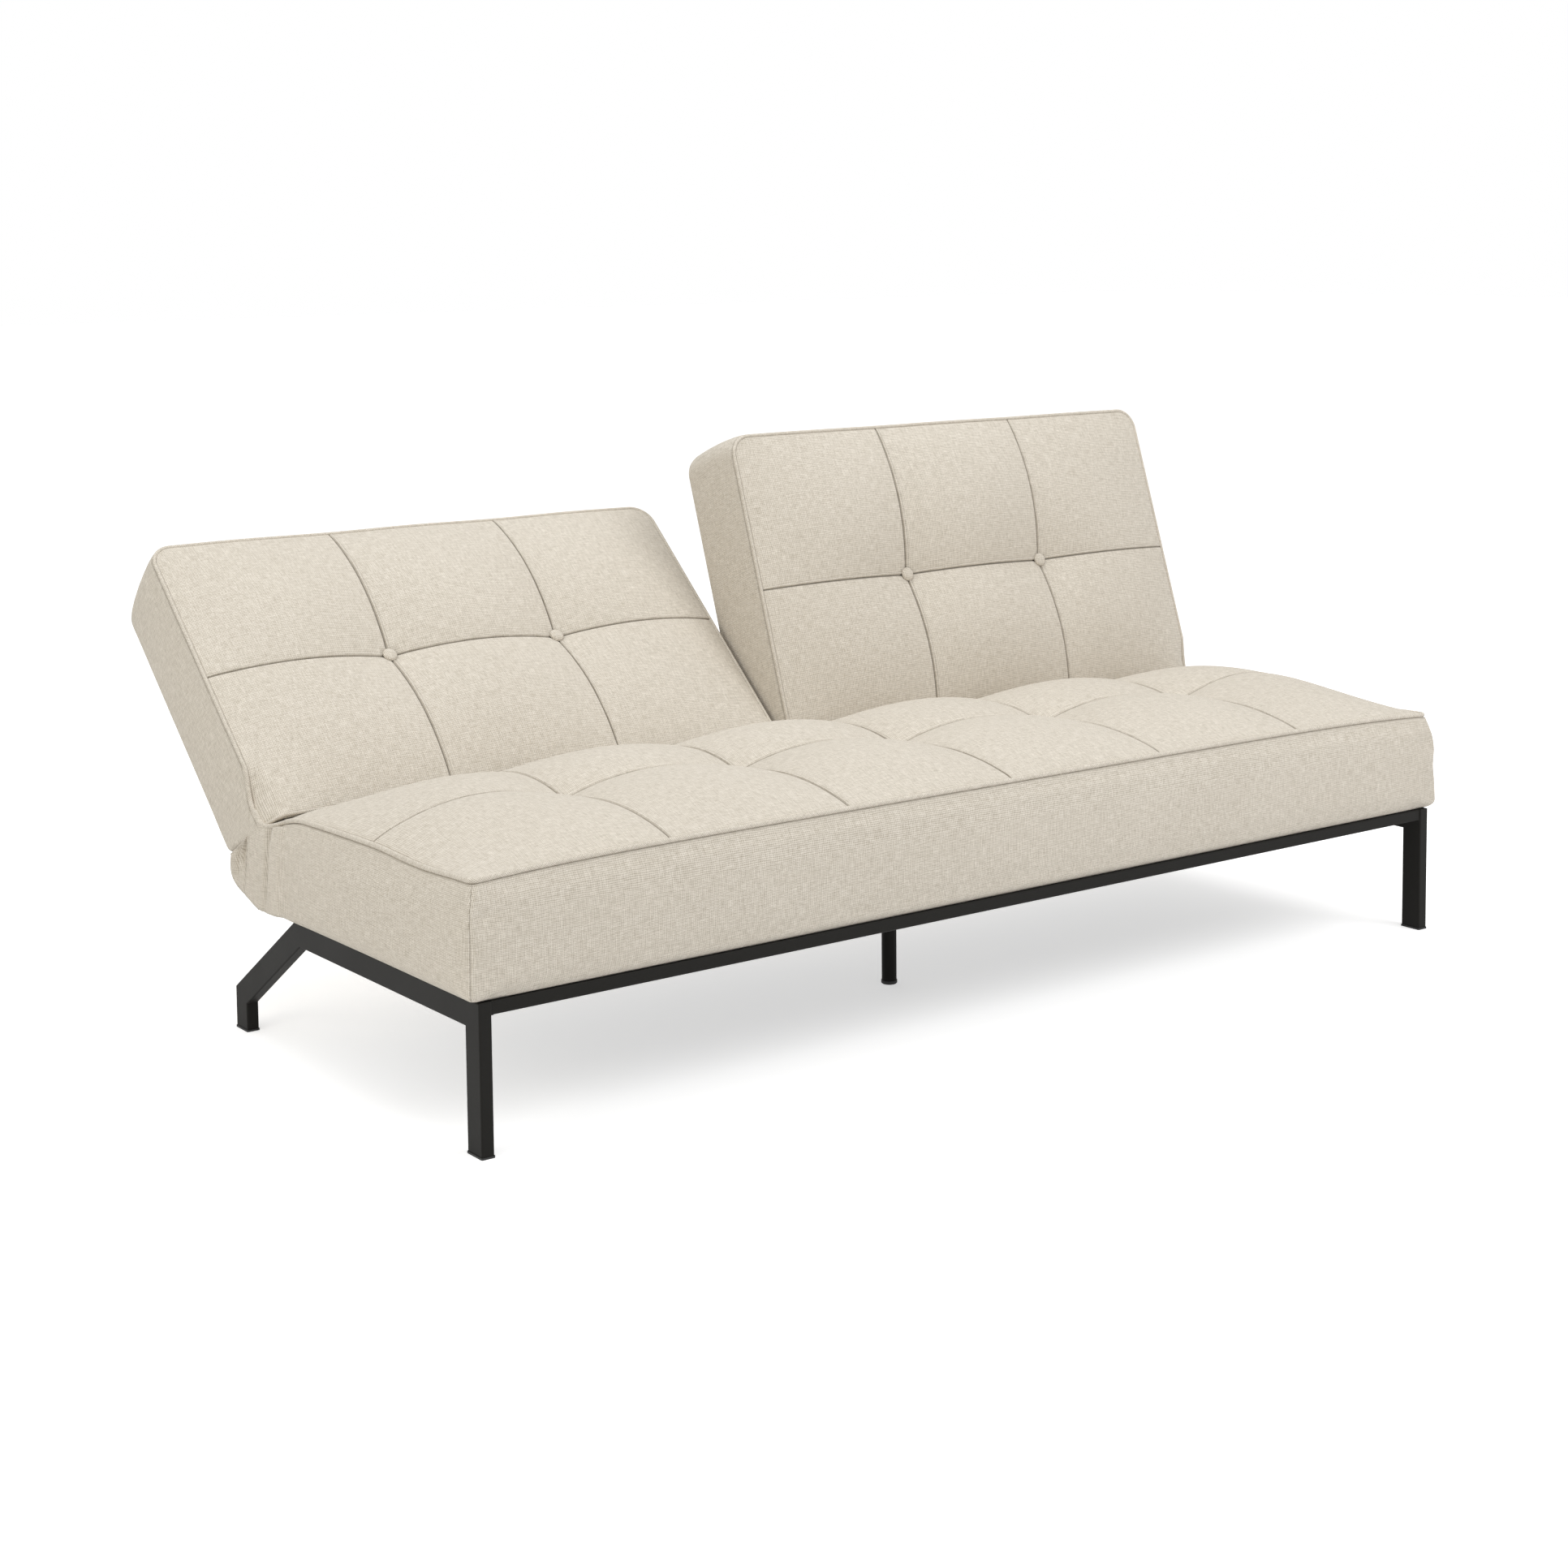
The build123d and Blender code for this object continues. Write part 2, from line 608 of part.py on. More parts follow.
back_arm_bolts = ((back_bolt_near, -back_bolt_behind), (back_bolt_far, -back_bolt_behind))
for side, sign in sides.items():
    for end_name, end in ends.items():
        name = f"{side}_{end_name}"
        x, thick = hinge_slab(sign, end, 0, arm_thick)
        with BuildPart() as seat_arm:
            with BuildSketch(hinge_plane(x)):
                Circle(lug_radius)
                with Locations((pin_y, pin_z)):
                    Circle(pawl_ear)
                with Locations(*[(y - pivot_y, arm_bolt_z - pivot_z) for y in arm_bolt_ys]):
                    Circle(arm_end_radius)
                make_hull()
                Circle(pivot_radius + rivet_seat_play, mode=Mode.SUBTRACT)
                with Locations((pin_y, pin_z)):
                    Circle(pawl_pin_radius + rivet_seat_play, mode=Mode.SUBTRACT)
                with Locations(*[(y - pivot_y, arm_bolt_z - pivot_z) for y in arm_bolt_ys]):
                    Circle(bolt_hole, mode=Mode.SUBTRACT)
            extrude(amount=thick / 2, both=True)
        keep(seat_arm, f"{name}_seat_arm")

        x, thick = hinge_slab(sign, end, arm_offset, arm_outside)
        with BuildPart() as back_arm:
            with BuildSketch(back_side_plane(tilts[side], x)):
                Circle(lug_radius)
                with Locations(*back_arm_bolts):
                    Circle(arm_end_radius)
                make_hull()
                Circle(ratchet_root)
                for notch in range(ratchet_notches):
                    # A tooth stands square behind each notch and slopes away to the next one
                    face = pawl_angle - 90 + right_tilt + notch * ratchet_step + notch_width / 2
                    slope_end = face + ratchet_step - notch_width
                    with BuildLine():
                        Polyline(
                            turned(ratchet_root - tooth_lap, face),
                            turned(ratchet_tip, face),
                            turned(ratchet_root - tooth_sink, slope_end),
                            turned(ratchet_root - tooth_lap, slope_end),
                            close=True,
                        )
                    make_face()
                Circle(pivot_radius + rivet_running_play, mode=Mode.SUBTRACT)
                with Locations(*back_arm_bolts):
                    Circle(bolt_hole, mode=Mode.SUBTRACT)
            extrude(amount=thick / 2, both=True)
        keep(back_arm, f"{name}_back_arm")

        pawl_plane = hinge_plane(x)
        pawl_local = Plane(
            origin=pawl_plane.from_local_coords((nose_y, nose_z, 0)),
            x_dir=(0, along_y, along_z),
            z_dir=(1, 0, 0),
        )
        outward = 1 if pawl_local.y_dir.Y * nose_y + pawl_local.y_dir.Z * nose_z > 0 else -1
        with BuildPart() as pawl:
            with BuildSketch(pawl_local):
                with BuildLine():
                    Polyline(
                        (-pawl_nose / 2, 0),
                        (pawl_nose / 2, 0),
                        (pawl_nose, outward * pawl_throat),
                        (pawl_reach, outward * pawl_waist),
                        (pawl_reach, outward * pawl_boss),
                        (pawl_reach / 3, outward * pawl_spine),
                        (-pawl_nose, outward * pawl_heel),
                        close=True,
                    )
                make_face()
                with Locations((pawl_reach, 0)):
                    Circle(pawl_boss)
                    Circle(pawl_pin_radius + rivet_running_play, mode=Mode.SUBTRACT)
            extrude(amount=thick / 2, both=True)
        keep(pawl, f"{name}_pawl")

with BuildPart() as hinge_rivets:
    for sign in sides.values():
        for end in ends.values():
            for place, radius in (((0, 0), pivot_radius), ((pin_y, pin_z), pawl_pin_radius)):
                for low, high, spread in (
                    (-rivet_head, 0, rivet_head_radius),
                    (0, arm_outside + arm_gap, radius),
                    (arm_outside + arm_gap, arm_outside + arm_gap + rivet_head, rivet_head_radius),
                ):
                    x, thick = hinge_slab(sign, end, low, high)
                    with BuildSketch(hinge_plane(x)):
                        with Locations(place):
                            Circle(spread)
                    extrude(amount=thick / 2, both=True)
keep(hinge_rivets, "hinge_rivets")

# Bolts of the base: rail ends, centre rail, centre leg and seat box
plate_bolt = end_plate + bolt_past_plate
with BuildPart() as frame_bolts:
    for sign in sides.values():
        for bolt_y in front_bolt_ys + rear_bolt_ys:
            bolt((sign * (inner_face_x - end_plate), bolt_y, rail_z), (sign, 0, 0), plate_bolt)
        bolt((sign * centre_bolt_x, centre_start_y + end_plate, rail_z), (0, -1, 0), plate_bolt)
        bolt((sign * centre_bolt_x, centre_end_y - end_plate, rail_z), (0, 1, 0), plate_bolt)
        bolt((0, sign * centre_plate_length / 2, leg_plate_top - end_plate), (0, 0, 1), plate_bolt)
    for x, y in seat_bolt_places:
        bolt((x, y, rail_top - tube_thin), (0, 0, 1), tube_thin + dust_cover_thick + seat_bolt_bite)
keep(frame_bolts, "frame_bolts")

with BuildPart() as seat_arm_bolts:
    for sign in sides.values():
        for end in ends.values():
            for bolt_y in arm_bolt_ys:
                head_x = hinge_x(sign, end, arm_thick)
                bolt((head_x, bolt_y, arm_bolt_z), (-sign * end, 0, 0), arm_thick + board_thick)
keep(seat_arm_bolts, "seat_arm_bolts")

# Backs
back_ledge = back_face - piping_sink
panel_face = back_rear + rear_panel_thick
foot_slope = back_foot_rise / (back_ledge - back_rear)
web_face = back_frame_face + webbing_thick


def foot_at(forward):
    """How high the underside of a back is, at a distance forward of the hinge axis."""
    return back_foot_start + (back_ledge - forward) * foot_slope


stile_bottom = foot_wall + frame_gap
hollow_top = back_height - head_wall
for side, sign in sides.items():
    tilt = tilts[side]

    def across(x):
        return back_side_plane(tilts[side], x)

    # Wooden frame
    for end_name, end in ends.items():
        x, thick = hinge_slab(sign, end, arm_offset - back_board, arm_offset)
        with BuildPart() as stile:
            with BuildSketch(back_side_plane(tilt, x)):
                Polygon(
                    (foot_at(back_frame_face) + stile_bottom, back_frame_face),
                    (hollow_top, back_frame_face),
                    (hollow_top, panel_face),
                    (foot_at(panel_face) + stile_bottom, panel_face),
                    align=None,
                )
                with Locations(*back_arm_bolts):
                    Circle(bolt_hole, mode=Mode.SUBTRACT)
            extrude(amount=thick / 2, both=True)
        keep(stile, f"{side}_back_{end_name}_stile")

    board_span = 2 * (hinge_half_span + arm_offset - back_board)
    board_low = foot_at(panel_face) + stile_bottom
    for board_name, low in (("bottom", board_low), ("top", hollow_top - back_board)):
        with BuildPart() as board:
            with BuildSketch(back_plane(tilt, panel_face)):
                with Locations((sign * back_middle_x, low + back_board / 2)):
                    Rectangle(board_span, back_board)
            extrude(amount=back_frame_face - panel_face)
        keep(board, f"{side}_back_{board_name}_board")

    with BuildPart() as webbing:
        with BuildSketch(back_plane(tilt, back_frame_face)):
            strap_step = board_span / back_straps
            for strap in range(back_straps):
                strap_x = sign * back_middle_x + (strap - (back_straps - 1) / 2) * strap_step
                with Locations((strap_x, (board_low + hollow_top) / 2)):
                    Rectangle(webbing_width, hollow_top - board_low)
        extrude(amount=webbing_thick)
    keep(webbing, f"{side}_back_webbing")

    # Padded cover: swelling sides, a tufted face and a hollow for the frame
    low_x, high_x = sorted((sign * back_inner_x, sign * back_outer_x))
    levels = []
    middle_forward = (back_ledge + panel_face) / 2
    for forward, out in ((back_ledge, 0.0), (middle_forward, back_swell), (panel_face, -back_swell)):
        levels.append(
            outline(
                back_plane(tilt, forward),
                (low_x - out, foot_at(forward) - max(out, 0.0) / 2),
                (high_x + out, back_height + out),
                back_top_corner,
                back_foot_corner,
            )
        )
    face_heights = [back_face + rise for rise in (back_crown, back_long_seam, back_cross_seam, back_dip)]
    pad_low = foot_at(back_ledge) + piping_ledge
    pad_high = back_height - piping_ledge
    face_pad = tufted_pad(
        across,
        low_x + piping_ledge,
        high_x - piping_ledge,
        back_columns,
        pad_low,
        pad_high,
        back_ledge,
        back_face,
        face_heights,
    )
    pad_outline = outline(
        back_plane(tilt, back_ledge),
        (low_x + piping_ledge, pad_low),
        (high_x - piping_ledge, pad_high),
        back_top_corner - piping_ledge,
        back_foot_corner - piping_ledge,
    )
    with BuildPart() as face:
        add(face_pad)
        extrude(pad_outline, amount=2 * back_face, mode=Mode.INTERSECT)
    hollow_low, hollow_high = sorted((sign * (back_outer_x - side_wall), sign * (back_inner_x + side_wall)))
    button_xs = [low_x + (high_x - low_x) * share for share in (1 / 3, 2 / 3)]
    button_places = [(x, (pad_low + pad_high) / 2) for x in button_xs]
    button_base = back_face + back_dip - button_seat
    with BuildPart() as cover:
        loft(sections=levels)
        add(face.part)
        with BuildSketch(back_side_plane(tilt, hollow_low)):
            Polygon(
                (foot_at(web_face) + foot_wall, web_face),
                (hollow_top, web_face),
                (hollow_top, back_rear),
                (foot_at(back_rear) + foot_wall, back_rear),
                align=None,
            )
        extrude(amount=hollow_high - hollow_low, mode=Mode.SUBTRACT)
        for end in ends.values():
            x, thick = hinge_slab(sign, end, -slot_play, cavity_half - board_half)
            with BuildSketch(back_side_plane(tilt, x)):
                Circle(lug_radius + slot_play)
                with Locations(*back_arm_bolts):
                    Circle(arm_end_radius + slot_play)
                make_hull()
                Circle(slot_radius)
            extrude(amount=thick / 2, both=True, mode=Mode.SUBTRACT)
        with BuildSketch(back_plane(tilt, button_base)):
            with Locations(*button_places):
                Circle(button_radius + button_play)
        extrude(amount=back_crown, mode=Mode.SUBTRACT)
    keep(cover, f"{side}_back_cover")

    with BuildPart() as rear_panel:
        extrude(levels[-1], amount=-rear_panel_thick)
    keep(rear_panel, f"{side}_back_rear_panel")

    with BuildPart() as buttons:
        for x, y in button_places:
            with BuildSketch(back_plane(tilt, button_base)):
                with Locations((x, y)):
                    Circle(button_radius)
            extrude(amount=button_rise)
        fillet(buttons.edges().filter_by(GeomType.CIRCLE).sort_by(Axis.Z)[-2:], button_round)
    keep(buttons, f"{side}_back_buttons")

    with BuildPart() as piping:
        path_plane = back_plane(tilt, back_ledge + piping_radius)
        path_face = outline(
            path_plane,
            (low_x + piping_radius, foot_at(back_ledge) + piping_radius),
            (high_x - piping_radius, back_height - piping_radius),
            back_top_corner - piping_radius,
            back_foot_corner - piping_radius,
        )
        path = path_face.faces()[0].outer_wire()
        with BuildSketch(Plane(origin=path @ 0, z_dir=path % 0)):
            Circle(piping_radius)
        sweep(path=path)
    keep(piping, f"{side}_back_piping")

    with BuildPart() as back_bolts:
        for end in ends.values():
            head_x = hinge_x(sign, end, arm_outside)
            side_plane = back_side_plane(tilt, head_x)
            for up, forward in back_arm_bolts:
                seat_point = side_plane.from_local_coords((up, forward, 0))
                bolt(seat_point, (-sign * end, 0, 0), arm_thick + back_board)
    keep(back_bolts, f"{side}_back_bolts")

    # Gusset: a loose sheet from the seat's lower rear edge to the back's lower rear edge
    side_plane = back_side_plane(tilt, 0)
    hem_forward = panel_face + gusset_hem
    back_edge = side_plane.from_local_coords((foot_at(hem_forward) - gusset_thick, hem_forward, 0))
    seat_edge_y = seat_rear_y + seat_foot_swell + gusset_gap + gusset_thick / 2
    seat_edge = Vector(0, seat_edge_y, rail_top + gusset_thick / 2)
    chord = back_edge - seat_edge
    sag = Vector(0, chord.Z, -chord.Y).normalized() * sags[side]
    with BuildPart() as gusset:
        with BuildSketch(seat_plane(hollow_low)):
            with BuildLine() as gusset_line:
                belly = seat_edge + chord / 2 + sag
                ThreePointArc((seat_edge.Y, seat_edge.Z), (belly.Y, belly.Z), (back_edge.Y, back_edge.Z))
            trace(line_width=gusset_thick)
        extrude(amount=hollow_high - hollow_low)
    keep(gusset, f"{side}_gusset")
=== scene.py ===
"""A click-clack sofa bed: cushions, piping, buttons, gussets and finishes round its packed frame."""

import json
import math

import bmesh
import bpy
import numpy as np
from bpy.props import FloatProperty, FloatVectorProperty, IntProperty, PointerProperty
from mathutils import Matrix, Vector


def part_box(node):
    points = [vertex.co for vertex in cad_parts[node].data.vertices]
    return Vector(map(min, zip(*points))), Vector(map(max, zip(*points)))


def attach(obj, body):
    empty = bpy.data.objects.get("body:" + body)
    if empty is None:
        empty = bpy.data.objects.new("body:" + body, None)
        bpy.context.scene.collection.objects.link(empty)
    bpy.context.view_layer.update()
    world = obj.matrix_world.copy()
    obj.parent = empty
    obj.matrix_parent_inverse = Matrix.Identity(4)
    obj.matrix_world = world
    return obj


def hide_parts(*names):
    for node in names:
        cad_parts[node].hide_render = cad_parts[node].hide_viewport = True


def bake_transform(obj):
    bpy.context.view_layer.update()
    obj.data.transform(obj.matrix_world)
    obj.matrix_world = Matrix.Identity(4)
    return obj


bl_info = {
    "name": "Sofa Bed",
    "version": (1, 0, 0),
    "blender": (4, 5, 0),
    "location": "View3D > Sidebar > Sofa Bed",
    "description": "Builds the cushions, trim and finishes of a sofa bed with a split reclining back",
    "category": "Object",
}

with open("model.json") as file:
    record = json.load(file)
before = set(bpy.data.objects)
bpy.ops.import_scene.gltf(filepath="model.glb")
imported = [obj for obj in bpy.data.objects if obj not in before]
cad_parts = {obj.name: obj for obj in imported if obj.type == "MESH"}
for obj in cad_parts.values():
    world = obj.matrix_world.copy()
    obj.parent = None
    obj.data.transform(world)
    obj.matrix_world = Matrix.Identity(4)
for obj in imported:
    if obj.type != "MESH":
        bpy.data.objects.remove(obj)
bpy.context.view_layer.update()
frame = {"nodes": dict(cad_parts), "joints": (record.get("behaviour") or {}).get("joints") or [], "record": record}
joints = {joint["name"]: joint for joint in frame["joints"]}
seat_piping_low, seat_piping_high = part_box("seat_piping")
seat_cover_low, seat_cover_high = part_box("seat_cover")
left_hinge = joints["left_back_hinge"]
hinge_y, hinge_z = left_hinge["pos_m"][1:]
sides = {"left": -1, "right": 1}
flat_tilt = 90.0  # the tilt of a back that lies flat, at the end of its hinge's range
tile_steps = 18  # cells along a tile while its cloth is blown up
tile_lines = 34  # mesh lines along a finished tile, closer together at its seams
face_blow = 0.005  # the furthest that the cloth of a face moves when it is blown up
border_blow = 0.004  # the same for the cloth of a border
path_step = 0.006  # between the points of a piping's path
tile_wobble = 0.0009  # how unevenly the tiles are filled
ledge_share = 0.85  # of a ledge that lies under its piping
body_names = {"seat_cushion": "base", "left_back_cushion": "left_back", "right_back_cushion": "right_back"}
sew_lines = {body: [] for body in body_names.values()}  # rows of points, filled as the cushions are made


def length(name, description, default):
    """A length in metres that the panel shows."""
    return FloatProperty(name=name, description=description, default=default, unit="LENGTH", precision=4)


def tone(name, description, default):
    """A colour that the panel shows."""
    return FloatVectorProperty(name=name, description=description, default=default, subtype="COLOR")


class SeatSizes(bpy.types.PropertyGroup):
    """Sizes of the seat cushion"""

    half_length: length("Half length", "Middle to the piping line", seat_piping_high.x)
    front_y: length("Front", "Piping line along the front", seat_piping_low.y)
    pad_rear_y: length("Pad rear", "Rear edge of the tufted top", seat_piping_high.y - 0.004)
    rear_y: length("Rear", "Rear wall", seat_cover_high.y - 0.002)
    bottom_z: length("Bottom", "Lower edge, on the rails", seat_cover_low.z)
    edge_z: length("Edge", "Edge of the tufted top", 0.388)
    front_rise: length("Front rise", "Middle of the front edge", 0.011)
    rear_drop: length("Rear drop", "Rear ends of the edge", 0.010)
    rear_tuck: length("Rear tuck", "Rear ends drawn down", 0.012)
    left_fill: length("Left fill", "Extra filling near the left end", 0.001)
    right_fill: length("Right fill", "Extra filling near the right end", 0.010)
    end_wave: length("End wave", "Dips between seams at the ends", 0.005)
    crown_z: length("Crown", "Middle of a tile", 0.431)
    long_seam_z: length("Long seam", "Top of the long seam", 0.432)
    cross_seam_z: length("Cross seam", "Top of a cross seam", 0.422)
    dip_z: length("Dip", "Where two seams cross", 0.403)
    step_z: length("Step", "Ledge under the backs", 0.335)
    swell: length("Swell", "How far the border stands out", 0.0115)
    corner: length("Corner", "Corner radius at the piping", 0.013)
    wall_corner: length("Wall corner", "Corner radius of the border", 0.009)
    rear_corner: length("Rear corner", "Lower rear corner radius", 0.030)
    columns: IntProperty(name="Columns", description="Tiles along the seat", default=6, min=1)


class BackSizes(bpy.types.PropertyGroup):
    """Sizes of one back cushion, measured from its hinge axis"""

    inner_x: length("Inner side", "From the middle", 0.006)
    outer_x: length("Outer side", "From the middle", 0.988)
    height: length("Height", "Up along the back", 0.570)
    foot: length("Foot", "Lower edge of the face", 0.002)
    foot_rise: length("Foot rise", "Slope of the underside", 0.049)
    face: length("Face", "Edge of the tufted face", 0.038)
    rear: length("Rear", "Rear face, behind the axis", -0.115)
    crown: length("Crown", "Middle of a tile", 0.067)
    long_seam: length("Long seam", "Top of the long seam", 0.058)
    cross_seam: length("Cross seam", "Top of a cross seam", 0.063)
    dip: length("Dip", "Under a button", 0.035)
    swell: length("Swell", "How far the border stands out", 0.004)
    head_corner: length("Head corner", "Upper corner radius", 0.040)
    foot_corner: length("Foot corner", "Lower corner radius", 0.012)
    tuck: length("Tuck", "Outer lower corner radius at the face", 0.014)
    left_roll: length("Left roll", "How far it turns back", 0.030)
    right_roll: length("Right roll", "How far it turns back", 0.012)
    roll_low: length("Roll foot", "Where it is fully turned back", 0.045)
    roll_high: length("Roll head", "Where it begins to turn back", 0.105)
    columns: IntProperty(name="Columns", description="Tiles across one back", default=3, min=1)


class TrimSizes(bpy.types.PropertyGroup):
    """Sizes of piping, seams, stitches, buttons and gussets"""

    piping_radius: length("Piping", "Radius of the piping", 0.004)
    ledge: length("Ledge", "Width of the seam under the piping", 0.008)
    sink: length("Sink", "From a pad's edge down to its seam", 0.006)
    back_piping_radius: length("Back piping", "Radius on the backs", 0.0031)
    back_ledge: length("Back ledge", "Width of the backs' seam", 0.0062)
    back_sink: length("Back sink", "Depth of the backs' seam", 0.0046)
    groove: length("Groove", "Depth of a seam's crease", 0.0034)
    groove_width: length("Groove width", "Half its width", 0.0012)
    fell: length("Fell", "Width of the flap sewn down beside a seam", 0.0054)
    fell_rise: length("Fell rise", "Thickness of that flap", 0.0011)
    stitch: length("Stitch", "Length of one stitch", 0.0036)
    thread_radius: length("Thread", "Radius of sewing thread", 0.0004)
    gusset_hem: length("Gusset hem", "From a back's rear edge", 0.009)
    gusset_reach: length("Gusset reach", "Past the inner hinges", 0.018)
    gusset_lap: length("Gusset lap", "Past the seat's piping line", 0.0128)
    gusset_wall: length("Gusset cloth", "Its thickness", 0.0012)
    left_sag: length("Left sag", "Slack of the left gusset", 0.024)
    right_sag: length("Right sag", "Slack of the right gusset", 0.008)
    button_radius: length("Button", "Radius of a button", 0.0125)
    button_rise: length("Button rise", "Height of a button", 0.0064)


class Finishes(bpy.types.PropertyGroup):
    """Colours of the cloth, the thread and the steel"""

    # cloth_dark also gives the painted shade in the weave's gaps, and cloth_light the painted highlight on its
    # yarns' crests.
    cloth_light: tone("Light threads", "Pale yarn", (0.785, 0.730, 0.645))
    cloth_dark: tone("Dark threads", "Darker yarn", (0.365, 0.318, 0.245))
    # Painted shade: the colour that the cloth is darkened towards deep in its seams, under its piping and round
    # its buttons.
    crease: tone("Crease", "Cloth deep in a seam", (0.10, 0.088, 0.066))
    thread: tone("Sewing thread", "Seams", (0.36, 0.32, 0.25))
    paint: tone("Paint", "Powder coat on the steel", (0.0115, 0.0108, 0.0094))
    thread_pitch: length("Thread pitch", "Width of one yarn", 0.0024)


def sizes_of(context):
    """The sizes of the seat, the backs and the trim."""
    scene = context.scene
    return scene.sofa_seat, scene.sofa_back, scene.sofa_trim


# Meshes


def grid_quads(rows, columns, cyclic=False):
    """Faces of a grid of points, which close into a ring along the columns if cyclic."""
    across = columns if cyclic else columns - 1
    row, column = np.meshgrid(np.arange(rows - 1), np.arange(across), indexing="ij")
    here = row * columns
    above = here + columns
    after = (column + 1) % columns
    corners = (here + column, here + after, above + after, above + column)
    return np.stack([corner.ravel() for corner in corners], axis=1)


def mesh_object(name, regions, weld=1e-6):
    """One mesh of several regions.

    A region has points, quads, each point's place on the cloth and, if it has any, how much painted shade darkens
    each point, in seams, under piping and round buttons.
    """
    points = np.concatenate([region[0].reshape(-1, 3) for region in regions])
    starts = np.cumsum([0] + [region[0].size // 3 for region in regions[:-1]])
    quads = np.concatenate([region[1] + start for region, start in zip(regions, starts)])
    lengths = np.concatenate([region[2].reshape(-1, 2) for region in regions])
    mesh = bpy.data.meshes.new(name)
    mesh.from_pydata(points.tolist(), [], quads.tolist())
    # Painted shade: each point's share of the crease colour, kept in the crease attribute that the cloth reads, 0
    # where a region has none.
    no_painted_shade = [np.zeros(region[0].size // 3) for region in regions]
    painted_shades = [region[3].ravel() if len(region) > 3 else none for region, none in zip(regions, no_painted_shade)]
    deep = mesh.attributes.new("crease", "FLOAT", "POINT")
    deep.data.foreach_set("value", np.concatenate(painted_shades).astype(np.float32))
    layer = mesh.uv_layers.new(name="cloth")
    layer.data.foreach_set("uv", lengths[quads.ravel()].astype(np.float32).ravel())
    bm = bmesh.new()
    bm.from_mesh(mesh)
    bmesh.ops.remove_doubles(bm, verts=bm.verts, dist=weld)
    bmesh.ops.recalc_face_normals(bm, faces=bm.faces)
    bm.to_mesh(mesh)
    bm.free()
    mesh.shade_smooth()
    piece = bpy.data.objects.new(name, mesh)
    bpy.context.scene.collection.objects.link(piece)
    return piece


def inflate(points, sewn, pressure, cap, cyclic=False, frames=20):
    """Blows a panel of cloth up between its sewn lines. No point moves further than cap."""
    rows, columns = points.shape[:2]
    quads = grid_quads(rows, columns, cyclic)
    if cyclic:
        quads = quads[:, ::-1]
    mesh = bpy.data.meshes.new("panel")
    mesh.from_pydata(points.reshape(-1, 3).tolist(), [], quads.tolist())
    panel = bpy.data.objects.new("panel", mesh)
    bpy.context.scene.collection.objects.link(panel)
    group = panel.vertex_groups.new(name="sewn")
    group.add([int(index) for index in np.flatnonzero(sewn.ravel())], 1.0, "REPLACE")
    cloth = panel.modifiers.new("Cloth", "CLOTH")
    settings = cloth.settings
    settings.quality = 6
    settings.mass = 0.25
    settings.tension_stiffness = 20
    settings.compression_stiffness = 20
    settings.shear_stiffness = 8
    settings.bending_stiffness = 1.5
    settings.vertex_group_mass = group.name
    settings.use_pressure = True
    settings.uniform_pressure_force = pressure
    settings.effector_weights.gravity = 0
    cloth.point_cache.frame_end = frames
    scene = bpy.context.scene
    for number in range(1, frames + 1):
        scene.frame_set(number)
    blown = panel.evaluated_get(bpy.context.evaluated_depsgraph_get())
    moved = np.empty(rows * columns * 3)
    blown.data.vertices.foreach_get("co", moved)
    move = moved.reshape(points.shape) - points
    bpy.data.objects.remove(panel)
    bpy.data.meshes.remove(mesh)
    scene.frame_set(1)
    reach = np.linalg.norm(move, axis=2, keepdims=True)
    return points + move * np.minimum(1, cap / np.maximum(reach, 1e-9))


def smooth_weights(at, count, cyclic):
    """The four grid lines round each place, and their shares, for a smooth curve through the lines."""
    base = np.floor(at).astype(int)
    if not cyclic:
        base = np.clip(base, 0, count - 2)
    t = at - base
    shares = np.stack(
        [
            -0.5 * t + t**2 - 0.5 * t**3,
            1 - 2.5 * t**2 + 1.5 * t**3,
            0.5 * t + 2 * t**2 - 1.5 * t**3,
            -0.5 * t**2 + 0.5 * t**3,
        ],
        axis=1,
    )
    lines = base[:, None] + np.arange(-1, 3)
    lines = lines % count if cyclic else np.clip(lines, 0, count - 1)
    return lines, shares


def resample(grid, rows_at, columns_at, cyclic=False):
    """Reads a grid smoothly at fractional rows and columns."""
    row_lines, row_shares = smooth_weights(rows_at, grid.shape[0], False)
    column_lines, column_shares = smooth_weights(columns_at, grid.shape[1], cyclic)
    along = np.einsum("rkcd,rk->rcd", grid[row_lines], row_shares)
    return np.einsum("rckd,ck->rcd", along[:, column_lines], column_shares)


def even_places(tiles, steps):
    """Evenly spaced places along a row of tiles, in tiles from the start."""
    return np.arange(tiles * steps + 1) / steps


def sewn_places(tiles, span, near):
    """Places along a row of tiles that crowd towards the seams, with some at set distances from them."""
    share = 0.5 - 0.5 * np.cos(np.pi * np.arange(tile_lines + 1) / tile_lines)
    close = np.array(near) * tiles / span
    clear = 1.2 * close[-1]
    share = share[(share > clear) & (share < 1 - clear)]
    share = np.concatenate([[0], close, share, (1 - close)[::-1]])
    return np.append((np.arange(tiles)[:, None] + share).ravel(), float(tiles))


def bell(away, width, power=2):
    """1 where away is 0, falling to almost nothing at twice the width."""
    return np.exp(-((away / width) ** power))


def arch(start, end, peak, share):
    """A sewn line that swells from start, through its peak, to end."""
    swell = np.sin(np.pi * share) ** 0.8
    return start + (end - start) * share + (peak - (start + end) / 2) * swell


def corners_of(low, high):
    """A rectangle's corners, anticlockwise from the lower left, each with its ways into the rectangle."""
    return (
        (low[0], low[1], 1, 1),
        (high[0], low[1], -1, 1),
        (high[0], high[1], -1, -1),
        (low[0], high[1], 1, -1),
    )


